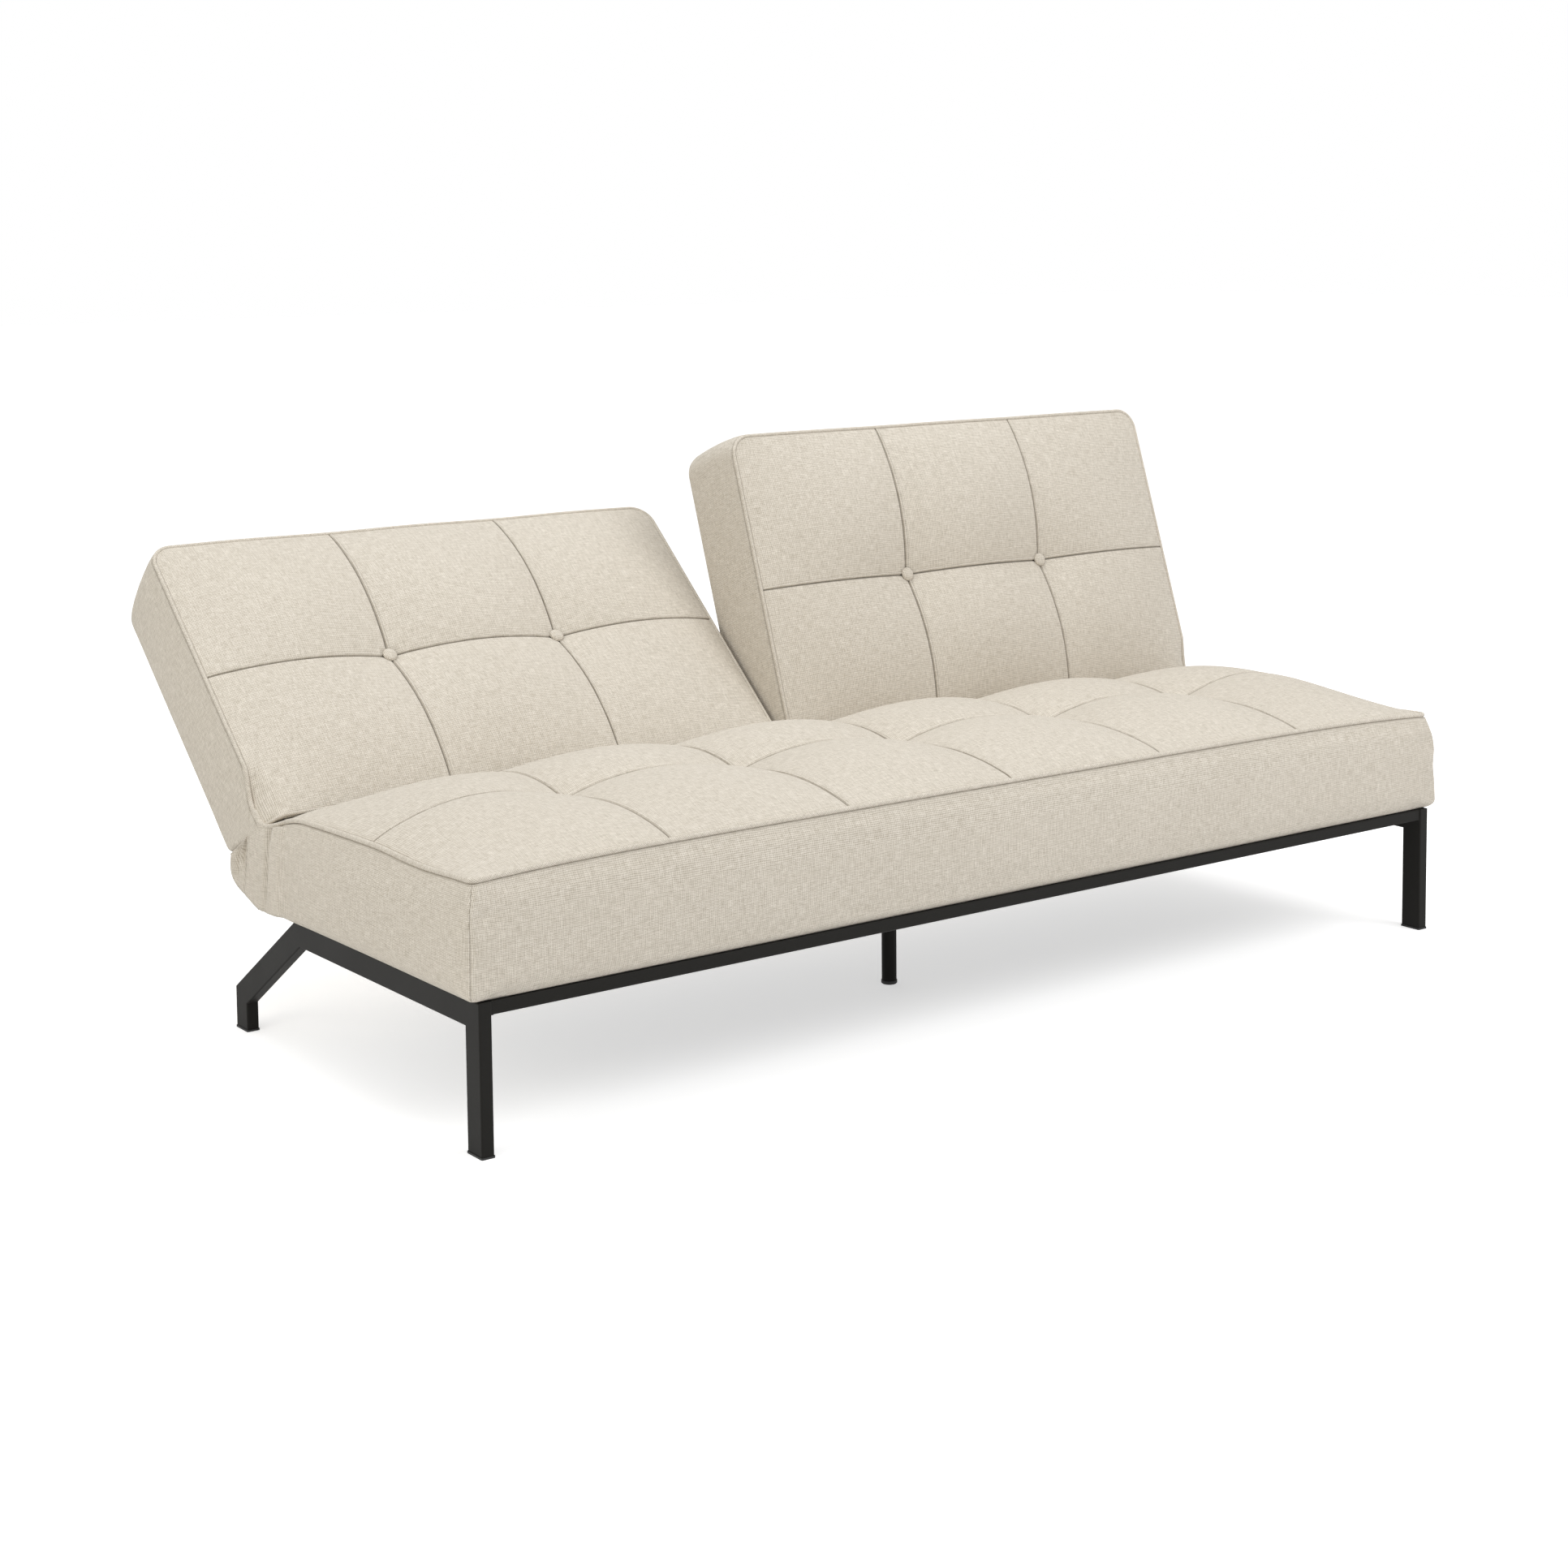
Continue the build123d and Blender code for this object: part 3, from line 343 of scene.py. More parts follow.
def rounded(across, up, low, high, radii):
    """Moves a rectangle's points so that its corners are round, in the order of corners_of."""
    across, up = across.copy(), up.copy()
    for (x, y, inward, upward), radius in zip(corners_of(low, high), radii):
        a = 1 - (across - x) * inward / radius
        b = 1 - (up - y) * upward / radius
        inside = (a > 0) & (b > 0)
        a, b = a[inside], b[inside]
        across[inside] = x + inward * radius * (1 - a * np.sqrt(1 - b**2 / 2))
        up[inside] = y + upward * radius * (1 - b * np.sqrt(1 - a**2 / 2))
    return across, up


def rim_places(across, up):
    """Places round the rim of a grid of tiles, as (across, up) pairs, anticlockwise from the low corner."""
    low_side = [(a, up[0]) for a in across[:-1]]
    far_side = [(across[-1], u) for u in up[:-1]]
    high_side = [(a, up[-1]) for a in across[:0:-1]]
    near_side = [(across[0], u) for u in up[:0:-1]]
    return np.array(low_side + far_side + high_side + near_side)


class Pad:
    """A tufted cushion of columns by two rows of tiles.

    Its own coordinates are across, up and out of its face.
    """

    def __init__(self, low, high, radii, columns, heights, rim, tuck, place, wobble):
        self.low, self.high, self.radii = low, high, radii
        self.columns, self.rows = columns, 2
        self.tile = (high[0] - low[0]) / self.columns, (high[1] - low[1]) / self.rows
        self.edge, self.crown, self.long_seam, self.cross_seam, self.dip = heights
        self.rim, self.tuck, self.place = rim, tuck, place
        self.tile_rise = wobble.normal(0, tile_wobble, (self.rows, columns))

    def heights(self, across, up):
        column = np.minimum(across.astype(int), self.columns - 1)
        row = np.minimum(up.astype(int), self.rows - 1)
        a, b = across - column, up - row

        def crossing(i, j):
            inside = (i > 0) & (i < self.columns) & (j > 0) & (j < self.rows)
            return np.where(inside, self.dip, self.rim(i, j))

        def long_line(j):
            inside = (j > 0) & (j < self.rows)
            seam = arch(crossing(column, j), crossing(column + 1, j), self.long_seam, a)
            return np.where(inside, seam, self.rim(across, j))

        def cross_line(i):
            inside = (i > 0) & (i < self.columns)
            seam = arch(crossing(i, row), crossing(i, row + 1), self.cross_seam, b)
            return np.where(inside, seam, self.rim(i, up))

        corners = (
            crossing(column, row) * (1 - a) * (1 - b)
            + crossing(column + 1, row) * a * (1 - b)
            + crossing(column, row + 1) * (1 - a) * b
            + crossing(column + 1, row + 1) * a * b
        )
        sewn = (
            long_line(row) * (1 - b)
            + long_line(row + 1) * b
            + cross_line(column) * (1 - a)
            + cross_line(column + 1) * a
            - corners
        )
        middle = (self.long_seam + self.cross_seam + 2 * self.edge) / 2 - (self.dip + 3 * self.edge) / 4
        rise = self.crown - middle + self.tile_rise[row, column]
        return sewn + rise * (np.sin(np.pi * a) * np.sin(np.pi * b)) ** 0.75 - self.tuck(across, up)

    def face(self, across, up):
        """The face as a grid of points in the cushion's own coordinates."""
        grid_up, grid_across = np.meshgrid(up, across, indexing="ij")
        x, y = self.spread(self.low, self.high, self.radii, grid_across, grid_up)
        return np.stack([x, y, self.heights(grid_across, grid_up)], axis=2)

    def spread(self, low, high, radii, across, up):
        """Where places in tiles lie on a rounded rectangle."""
        x = low[0] + (high[0] - low[0]) * across / self.columns
        y = low[1] + (high[1] - low[1]) * up / self.rows
        return rounded(x, y, low, high, radii)

    def seam_relief(self, across, up, trim):
        """A crease along each seam, with a flap sewn down beside it."""
        relief = np.zeros((len(up), len(across)))
        x_step, y_step = self.tile
        for column in range(1, self.columns):
            relief += seam_profile((across - column) * x_step, trim)[None, :]
        for row in range(1, self.rows):
            relief += seam_profile((up - row) * y_step, trim)[:, None]
        return relief

    def painted_shades(self, across, up, button_shade_radius):
        """How much painted shade darkens each point of the face, from 0 to 1, in the seams and along the rim under
        the piping.

        The last argument is how far round each button painted shade darkens the face, or 0.
        """
        width = 0.0012
        # painted shade along the rim, under the piping
        rim_shade = 0.45
        x_step, y_step = self.tile
        beside = np.abs(across - np.clip(np.round(across), 1, self.columns - 1)) * x_step
        above = np.abs(up - np.clip(np.round(up), 1, self.rows - 1)) * y_step
        above, beside = np.meshgrid(above, beside, indexing="ij")
        # painted shade in the seams
        depth = bell(np.minimum(beside, above), width)
        if button_shade_radius:
            # painted shade round each button
            button_shade = 0.6 * bell(np.hypot(beside, above), button_shade_radius, 6)
            depth = np.maximum(depth, button_shade)
        depth[[0, -1]] = rim_shade
        depth[:, [0, -1]] = rim_shade
        return depth

    def stitch_lines(self, face, across, up, trim):
        """The stitched edges of the flaps on a finished face, each as a row of points."""
        x_flap, y_flap = trim.fell / self.tile[0], trim.fell / self.tile[1]
        lines = [face[np.argmin(np.abs(up - row - y_flap))] for row in range(1, self.rows)]
        lines += [face[:, np.argmin(np.abs(across - column - x_flap))] for column in range(1, self.columns)]
        return lines


def seam_profile(away, trim):
    """Height across a seam: a sharp crease, a flap on one side and a dent where the flap is stitched."""
    flap_slope, dent_width = 0.0012, 0.0008
    crease = -trim.groove * bell(away, trim.groove_width)
    flap_start = np.clip(away / (0.3 * trim.fell), 0, 1)
    flap_end = np.clip((trim.fell - away) / flap_slope, 0, 1)
    dent = -0.5 * trim.fell_rise * bell(away - trim.fell, dent_width)
    return crease + trim.fell_rise * flap_start * flap_end + dent


def border_lengths(pad, own, places):
    """Lengths of cloth along the border, from the middle of its lower side."""
    x, y = own[:, :, 0], own[:, :, 1]
    across, up = places[:, 0], places[:, 1]
    lengths = x.copy()
    far = np.isclose(across, pad.columns)
    near = np.isclose(across, 0)
    high = np.isclose(up, pad.rows) & ~far & ~near
    lengths[:, far] = pad.high[0] + (y[:, far] - pad.low[1])
    lengths[:, near] = pad.low[0] - (y[:, near] - pad.low[1])
    lengths[:, high] = pad.high[0] + (pad.high[1] - pad.low[1]) + (pad.high[0] - x[:, high])
    return lengths


def tufted_cushion(name, pad, border, trim, pressures, still, crease, button_shade_radius):
    """A closed cushion: a tufted face, a border of outlines and a flat rear face.

    border is a list of (low, high, radii, out, follow) from the face's rim to the rear face, where follow is
    how much of the rim's rise and fall the outline takes. still says which places of the rim don't swell,
    crease is how far the seams at the lower corners are drawn in, and the last argument is how far round
    each button painted shade darkens the face, or 0.
    """
    face_pressure, border_pressure = pressures
    coarse_across = even_places(pad.columns, tile_steps)
    coarse_up = even_places(pad.rows, tile_steps)
    on_seam = np.zeros((len(coarse_up), len(coarse_across)), bool)
    on_seam[::tile_steps] = True
    on_seam[:, ::tile_steps] = True
    start = pad.place(pad.face(coarse_across, coarse_up))
    blown = inflate(start, on_seam, face_pressure, face_blow)
    near = (0.0007, 0.0013, 0.0022, 0.0040, trim.fell, trim.fell + 0.0012, trim.fell + 0.0030)
    across = sewn_places(pad.columns, pad.high[0] - pad.low[0], near)
    up = sewn_places(pad.rows, pad.high[1] - pad.low[1], near)
    fine = pad.face(across, up)
    fine[:, :, 2] += pad.seam_relief(across, up, trim)
    face = pad.place(fine) + resample(blown - start, up * tile_steps, across * tile_steps)

    def border_points(places):
        across, up = places.T
        wave = pad.rim(across, up) - pad.tuck(across, up) - pad.edge
        at_corner = (up == 0) & np.isin(across, (0, pad.columns))
        inward = np.where(across == 0, crease, -crease) * at_corner
        rows = []
        for low, high, radii, out, follow in border:
            x, y = pad.spread(low, high, radii, across, up)
            rows.append(np.column_stack([x + inward, y + np.abs(inward), out + follow * wave]))
        return np.array(rows)

    places = rim_places(across, up)
    own = border_points(places)
    placed = pad.place(own)
    coarse_places = rim_places(coarse_across, coarse_up)
    border_start = pad.place(border_points(coarse_places))
    sewn = np.zeros(border_start.shape[:2], bool)
    sewn[:4] = True
    sewn[-2:] = True
    sewn[:, still(coarse_places)] = True
    border_blown = inflate(border_start, sewn, border_pressure, border_blow, cyclic=True)
    rows_at = np.arange(len(border), dtype=float)
    around = rim_position(places, pad) * tile_steps
    placed += resample(border_blown - border_start, rows_at, around, cyclic=True)
    rings = np.concatenate([rim_of(face)[None], placed])
    drops = np.linalg.norm(np.diff(rings, axis=0), axis=2)
    depths = np.concatenate([[0], np.cumsum(np.median(drops, axis=1))])
    lengths = border_lengths(pad, own, places)
    lengths = np.concatenate([lengths[:1], lengths])
    border_cloth = np.stack([lengths, np.broadcast_to(-depths[:, None], lengths.shape)], axis=2)
    # Painted shade under the piping: the face's rim and the ledge beneath the cord are darkened.
    piping_shade = np.zeros(rings.shape[:2])
    piping_shade[:3] = np.array([0.45, 0.45, 0.25])[:, None]
    low, high, radii, out, _ = border[-1]
    x, y = pad.spread(low, high, radii, *reversed(np.meshgrid(up, across, indexing="ij")))
    rear = pad.place(np.stack([x, y, np.full(x.shape, out)], axis=2))
    rings[-1] = rim_of(rear)
    piece = mesh_object(
        name,
        [
            (face, grid_quads(*face.shape[:2]), fine[:, :, :2], pad.painted_shades(across, up, button_shade_radius)),
            (rings, grid_quads(*rings.shape[:2], cyclic=True), border_cloth, piping_shade),
            (rear, grid_quads(*rear.shape[:2])[:, ::-1], np.stack([x, y], axis=2)),
        ],
    )
    sew_lines[body_names[name]] += pad.stitch_lines(face, across, up, trim)
    return piece


def rim_of(grid):
    """The rim of a grid of points, in the order of rim_places."""
    return np.concatenate([grid[0, :-1], grid[:-1, -1], grid[-1, :0:-1], grid[:0:-1, 0]])


def rim_position(places, pad):
    """How far round the rim each place is, in tiles."""
    across, up = places[:, 0], places[:, 1]
    far = np.isclose(across, pad.columns) & (up < pad.rows)
    high = np.isclose(up, pad.rows) & (across > 0)
    near = np.isclose(across, 0) & (up > 0)
    position = across.copy()
    position[far] = pad.columns + up[far]
    position[high] = pad.columns + pad.rows + (pad.columns - across[high])
    position[near] = 2 * pad.columns + pad.rows + (pad.rows - up[near])
    return position


def lengths_along(points):
    """How far along a path each of its points is."""
    return np.concatenate([[0], np.cumsum(np.linalg.norm(np.diff(points, axis=0), axis=1))])


def even_path(points, step, closed):
    """A path's points, evenly spaced."""
    if closed:
        points = np.concatenate([points, points[:1]])
    lengths = lengths_along(points)
    count = max(2, round(lengths[-1] / step))
    places = np.linspace(0, lengths[-1], count + 1)
    if closed:
        places = places[:-1]
    return np.stack([np.interp(places, lengths, points[:, axis]) for axis in range(3)], axis=1)


def tube(name, path, radius, closed, around=12):
    """A covered cord along a path. Its cloth is cut on the bias, so its threads run at 45 degrees."""
    ahead = np.roll(path, -1, axis=0) - np.roll(path, 1, axis=0)
    if not closed:
        ahead[0], ahead[-1] = path[1] - path[0], path[-1] - path[-2]
    ahead /= np.linalg.norm(ahead, axis=1, keepdims=True)
    mean_side = np.cross(path[len(path) // 4] - path[0], path[len(path) // 2] - path[0])
    side = mean_side - ahead * (ahead @ mean_side)[:, None]
    side /= np.linalg.norm(side, axis=1, keepdims=True)
    other = np.cross(ahead, side)
    turn = np.linspace(0, 2 * np.pi, around + 1)
    round_cord = side[:, None] * np.cos(turn)[:, None] + other[:, None] * np.sin(turn)[:, None]
    rings = path[:, None] + radius * round_cord
    along, girth = np.meshgrid(lengths_along(path), turn * radius, indexing="ij")
    bias = np.stack([along + girth, along - girth], axis=2) * math.sqrt(0.5)
    regions = [(rings, grid_quads(*rings.shape[:2]), bias)]
    if closed:
        join = np.stack([rings[-1], rings[0]])
        regions.append((join, grid_quads(2, around + 1), np.stack([bias[-1], bias[-1] + 0.005])))
    else:
        for end, inner in ((rings[0], path[0]), (rings[-1], path[-1])):
            cap = np.stack([end, np.broadcast_to(inner, end.shape)])
            regions.append((cap, grid_quads(2, around + 1), np.stack([bias[0], bias[0] + radius])))
    return mesh_object(name, regions)


# Materials


class Tree:
    """A node tree, with short ways to add to it."""

    def __init__(self, tree):
        self.tree = tree

    def link(self, source, target):
        """Links an input to a socket, or sets it to a value."""
        if isinstance(source, bpy.types.NodeSocket):
            self.tree.links.new(source, target)
        else:
            target.default_value = source

    def add(self, kind, inputs=None, **settings):
        node = self.tree.nodes.new(kind)
        for key, value in settings.items():
            setattr(node, key, value)
        for key, value in (inputs or {}).items():
            self.link(value, node.inputs[key])
        return node

    def math(self, operation, *terms):
        return self.add("ShaderNodeMath", dict(enumerate(terms)), operation=operation).outputs[0]


class Nodes(Tree):
    """A material's node tree."""

    def __init__(self, name):
        self.material = bpy.data.materials.new(name)
        self.material.use_nodes = True
        super().__init__(self.material.node_tree)
        self.shader = self.tree.nodes["Principled BSDF"]

    def mix(self, share, first, second):
        inputs = {"Factor": share, 6: first, 7: second}
        return self.add("ShaderNodeMix", inputs, data_type="RGBA").outputs[2]

    def noise(self, vector, scale, detail=2.0, roughness=0.5):
        inputs = {"Vector": vector, "Scale": scale, "Detail": detail, "Roughness": roughness}
        return self.add("ShaderNodeTexNoise", inputs).outputs["Fac"]

    def mapped(self, vector, scale):
        return self.add("ShaderNodeMapping", {"Vector": vector, "Scale": scale}).outputs["Vector"]

    def bump(self, height, strength, distance):
        inputs = {"Height": height, "Strength": strength, "Distance": distance}
        return self.add("ShaderNodeBump", inputs).outputs["Normal"]

    def object_coordinates(self):
        return self.add("ShaderNodeTexCoord").outputs["Object"]

    def finish(self, inputs):
        """Sets the shader and gives the finished material."""
        for key, value in inputs.items():
            self.link(value, self.shader.inputs[key])
        return self.material


def colour(values):
    return (*values, 1.0)


def linen(finishes):
    """A coarse linen-look plain weave: two sets of uneven yarns that pass over and under each other, with painted
    shade in the gaps between them and painted highlight on their crests.
    """
    nodes = Nodes("linen_cloth")
    coordinates = nodes.add("ShaderNodeUVMap", uv_map="cloth").outputs["UV"]
    parts = nodes.add("ShaderNodeSeparateXYZ", {0: coordinates})
    yarns = []
    for axis in (0, 1):
        waver = nodes.noise(nodes.mapped(coordinates, (30, 30, 1)), 1.0, detail=4.0, roughness=0.6)
        count = nodes.math("DIVIDE", parts.outputs[axis], finishes.thread_pitch)
        count = nodes.math("MULTIPLY_ADD", waver, 1.2, count)
        swell = nodes.math("SINE", nodes.math("MULTIPLY", nodes.math("FRACT", count), math.pi))
        slub_scale = (55, 415, 1) if axis else (415, 55, 1)
        slub = nodes.noise(nodes.mapped(coordinates, slub_scale), 1.0, detail=1.0)
        yarns.append((nodes.math("FLOOR", count), swell, slub))
    (warp, warp_swell, warp_slub), (weft, weft_swell, weft_slub) = yarns
    over = nodes.math("MODULO", nodes.math("ADD", nodes.math("ADD", warp, weft), 100000.0), 2.0)
    under = nodes.math("SUBTRACT", 1.0, over)
    warp_top = nodes.math("MULTIPLY", over, warp_swell)
    top = nodes.math("ADD", warp_top, nodes.math("MULTIPLY", under, weft_swell))
    slub = nodes.math("ADD", warp_slub, weft_slub)
    gaps = [nodes.math("SUBTRACT", 1.0, swell) for swell in (warp_swell, weft_swell)]
    hole = nodes.math("MULTIPLY", *gaps)
    cell = nodes.add("ShaderNodeCombineXYZ", {"X": warp, "Y": weft}).outputs[0]
    fleck = nodes.add("ShaderNodeTexWhiteNoise", {"Vector": cell}, noise_dimensions="2D").outputs["Value"]
    height = nodes.math("MULTIPLY_ADD", hole, -0.6, nodes.math("MULTIPLY", top, 0.5))
    patch = nodes.noise(nodes.mapped(coordinates, (5, 5, 1)), 1.0, detail=3.0)
    # Painted shade and highlight: the weave's gaps are darkened and its yarns' crests lightened; the slubs, flecks
    # and patches below are the yarn's own uneven tone.
    pale = nodes.math("MULTIPLY_ADD", hole, -0.95, nodes.math("MULTIPLY_ADD", top, 0.28, 0.55))
    pale = nodes.math("MULTIPLY_ADD", slub, 0.60, nodes.math("SUBTRACT", pale, 0.60))
    pale = nodes.math("MULTIPLY_ADD", fleck, 0.12, nodes.math("SUBTRACT", pale, 0.06))
    pale = nodes.math("MULTIPLY_ADD", patch, 0.12, nodes.math("SUBTRACT", pale, 0.06))
    pale = nodes.add("ShaderNodeClamp", {"Value": pale}).outputs[0]
    shade = nodes.mix(pale, colour(finishes.cloth_dark), colour(finishes.cloth_light))
    # Painted shade: the crease attribute darkens the cloth towards the crease colour in seams, under piping and
    # round buttons.
    crease = nodes.add("ShaderNodeAttribute", attribute_name="crease").outputs["Fac"]
    shade = nodes.mix(nodes.math("MULTIPLY", crease, 0.54), shade, colour(finishes.crease))
    return nodes.finish(
        {
            "Base Color": shade,
            "Roughness": 0.92,
            "Specular IOR Level": 0.15,
            "Sheen Weight": 0.12,
            "Sheen Roughness": 0.5,
            "Normal": nodes.bump(height, 0.55, 0.0007),
        }
    )


def twisted_thread(finishes):
    """Sewing thread with a fine twist."""
    nodes = Nodes("sewing_thread")
    twist = nodes.noise(nodes.object_coordinates(), 900.0)
    shade = nodes.mix(twist, colour([0.75 * c for c in finishes.thread]), colour(finishes.thread))
    return nodes.finish({"Base Color": shade, "Roughness": 0.7, "Normal": nodes.bump(twist, 0.3, 0.0002)})


def powder_coat(finishes):
    """Satin black powder coat: a fine orange peel, faint cloudiness and dust along the tubes."""
    nodes = Nodes("powder_coat")
    place = nodes.object_coordinates()
    peel = nodes.noise(place, 900.0, detail=2.0)
    cloud = nodes.noise(place, 9.0, detail=4.0)
    dust = nodes.noise(place, 160.0, detail=6.0, roughness=0.75)
    share = nodes.math("MULTIPLY", nodes.math("MULTIPLY", cloud, dust), 0.35)
    shade = nodes.mix(share, colour(finishes.paint), colour([0.02 + 1.25 * c for c in finishes.paint]))
    rough = nodes.math("MULTIPLY_ADD", cloud, 0.16, 0.42)
    normal = nodes.bump(peel, 0.10, 0.0004)
    return nodes.finish(
        {"Base Color": shade, "Roughness": rough, "Specular IOR Level": 0.10, "Normal": normal}
    )


def grained(name, first, second, scale, stretch, roughness, bump, metallic=0.0):
    """A plain workshop material: two tones in a stretched grain."""
    nodes = Nodes(name)
    place = nodes.mapped(nodes.object_coordinates(), stretch)
    grain = nodes.noise(place, scale, detail=5.0, roughness=0.6)
    shade = nodes.mix(grain, colour(first), colour(second))
    rough = nodes.math("MULTIPLY_ADD", grain, 0.2, roughness)
    normal = nodes.bump(grain, bump, 0.0006)
    return nodes.finish({"Base Color": shade, "Roughness": rough, "Metallic": metallic, "Normal": normal})


def finish_node(node, material):
    piece = frame["nodes"][node]
    piece.data.materials.clear()
    piece.data.materials.append(material)


def dress(piece, material, body, slot, *nodes):
    """Gives a finished piece its material and its place on the sofa."""
    piece.data.materials.append(material)
    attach(piece, body)
    if nodes:
        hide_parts(*nodes)


def cloth_of(context):
    found = bpy.data.materials.get("linen_cloth")
    return found or linen(context.scene.sofa_finishes)


# Seat


seat_foot_round = 0.013  # where the border turns under the seat
pad_rear_corner = 0.006  # radius of the tufted top's rear corners


def under_step(seat, z):
    """Whether a height is at or below the step that the backs stand over."""
    return z <= seat.step_z + 0.0001


def seat_swell(seat, trim, z):
    """How far the seat's border stands out past its piping line, at a height."""
    ledge_z = seat.edge_z - trim.sink
    depth = np.clip((ledge_z - z) / (ledge_z - seat.bottom_z - seat_foot_round), 0, 1)
    return seat.swell * (1 - (1 - np.minimum(depth / 0.5, 1)) ** 2) * (1 + 0.12 * depth)


def seat_border(seat, trim):
    """Outlines of the seat from the piping down to the rails, with a step at the rear for the backs."""
    ledge_z = seat.edge_z - trim.sink
    foot_round = seat_foot_round
    foot_top = seat.bottom_z + foot_round
    hem_z = seat.bottom_z + 0.0006
    hem_turn = 0.012
    above_step = np.linspace(ledge_z - 0.003, seat.step_z + 0.004, 8)
    wall = np.concatenate([[ledge_z - 0.001], above_step, np.linspace(seat.step_z, foot_top, 9)])
    out = seat_swell(seat, trim, wall)
    rows = [(-ledge_share * trim.ledge, ledge_z + 0.001)]
    rows += list(zip(out, wall))
    for angle in np.radians([18, 36, 54, 72, 90]):
        rows.append((out[-1] - foot_round * (1 - math.cos(angle)), foot_top - foot_round * math.sin(angle)))
    rows[-1] = (rows[-1][0], hem_z)
    rows.append((-hem_turn, hem_z))
    border = []
    for swell, z in rows:
        low = (-seat.half_length - swell, seat.front_y - swell)
        high = (seat.half_length + swell, seat.pad_rear_y + min(swell, 0.0))
        sunk = np.clip((ledge_z - z) / 0.03, 0, 1)
        front_corner = seat.corner + (seat.wall_corner - seat.corner) * sunk
        rear_corner = seat.rear_corner if under_step(seat, z) else pad_rear_corner
        follow = 1 - np.clip((ledge_z - z) / (ledge_z - seat.step_z - 0.004), 0, 1)
        border.append((low, high, (front_corner, front_corner, rear_corner, rear_corner), z, follow))
    return border


def seat_rim(seat):
    """How high the seat's piped edge is at each place round it."""

    def rim(across, up):
        along = np.abs(2 * across / seat.columns - 1)
        at_front = np.clip(1 - up, 0, 1)
        front = seat.front_rise * (1 - along**6) * at_front
        rear = seat.rear_drop * np.clip(up / 2, 0, 1) ** 3
        wave = seat.end_wave * np.sin(np.pi * np.clip(up, 0, 1)) ** 2 * along**8
        return seat.edge_z + front - rear - wave

    return rim


def seat_tuck(seat):
    """How far the seat's top is drawn down at its rear ends, less how full it is near its ends."""

    def tuck(across, up):
        from_end = np.minimum(across, seat.columns - across)
        near = np.clip(1 - 4 * from_end, 0, 1) ** 2
        drawn = seat.rear_tuck * near * np.clip((up - 1.72) / 0.28, 0, 1) ** 2
        beside = np.sin(np.pi * np.clip(from_end / 0.85, 0, 1) ** 0.6)
        fill = np.where(across < seat.columns / 2, seat.left_fill, seat.right_fill)
        return drawn - fill * beside * np.sin(np.pi * np.clip(up / 2, 0, 1)) ** 0.6

    return tuck


def seat_place(seat):
    """Moves the rear of the border back under the step, where the backs leave room for it."""
    reach = 0.045

    def place(points):
        points = points.copy()
        share = np.clip((points[..., 1] - seat.pad_rear_y) / reach + 1, 0, 1)
        below = under_step(seat, points[..., 2])
        points[..., 1] += (seat.rear_y - seat.pad_rear_y) * share**2 * (3 - 2 * share) * below
        return points

    return place


class SOFA_OT_seat(bpy.types.Operator):
    """Makes the tufted seat cushion"""

    bl_idname = "sofa.seat"
    bl_label = "Seat Cushion"

    def execute(self, context):
        seat, _, trim = sizes_of(context)
        inset = trim.ledge
        corner = seat.corner - inset
        pad = Pad(
            (-seat.half_length + inset, seat.front_y + inset),
            (seat.half_length - inset, seat.pad_rear_y),
            (corner, corner, pad_rear_corner, pad_rear_corner),
            seat.columns,
            (seat.edge_z, seat.crown_z, seat.long_seam_z, seat.cross_seam_z, seat.dip_z),
            seat_rim(seat),
            seat_tuck(seat),
            seat_place(seat),
            np.random.default_rng(5),
        )
        piece = tufted_cushion(
            "seat_cushion",
            pad,
            seat_border(seat, trim),
            trim,
            pressures=(0.6, 2.0),
            still=lambda places: places[:, 1] > 1.8,
            crease=0.0013,
            button_shade_radius=0.0,
        )
        dress(piece, cloth_of(context), "base", "fabric_beige", "seat_cover")
        return {"FINISHED"}


# Backs


def back_place(side):
    """Where a point across, up and out of a back's face lies."""
    tilt = math.radians(flat_tilt - joints[f"{side}_back_hinge"]["range_deg"][1])

    def place(points):
        across, up, out = points[..., 0], points[..., 1], points[..., 2]
        y = hinge_y + up * math.sin(tilt) - out * math.cos(tilt)
        z = hinge_z + up * math.cos(tilt) + out * math.sin(tilt)
        return np.stack([across, y, z], axis=-1)

    return place


def back_edges(side, back):
    return sorted((sides[side] * back.inner_x, sides[side] * back.outer_x))


def back_foot(back, trim, out):
    """How high the underside of a back is, at a distance out from its hinge axis."""
    ledge = back.face - trim.back_sink
    return back.foot + (ledge - out) * back.foot_rise / (ledge - back.rear)


def back_corners(side, back, tuck, inset):
    """Corner radii of a back: its outer lower corner is tucked in towards the crease."""
    outer, inner = max(tuck - inset, 0.004), max(back.foot_corner - inset, 0.004)
    head = back.head_corner - inset
    lower = (outer, inner) if sides[side] < 0 else (inner, outer)
    return (*lower, head, head)


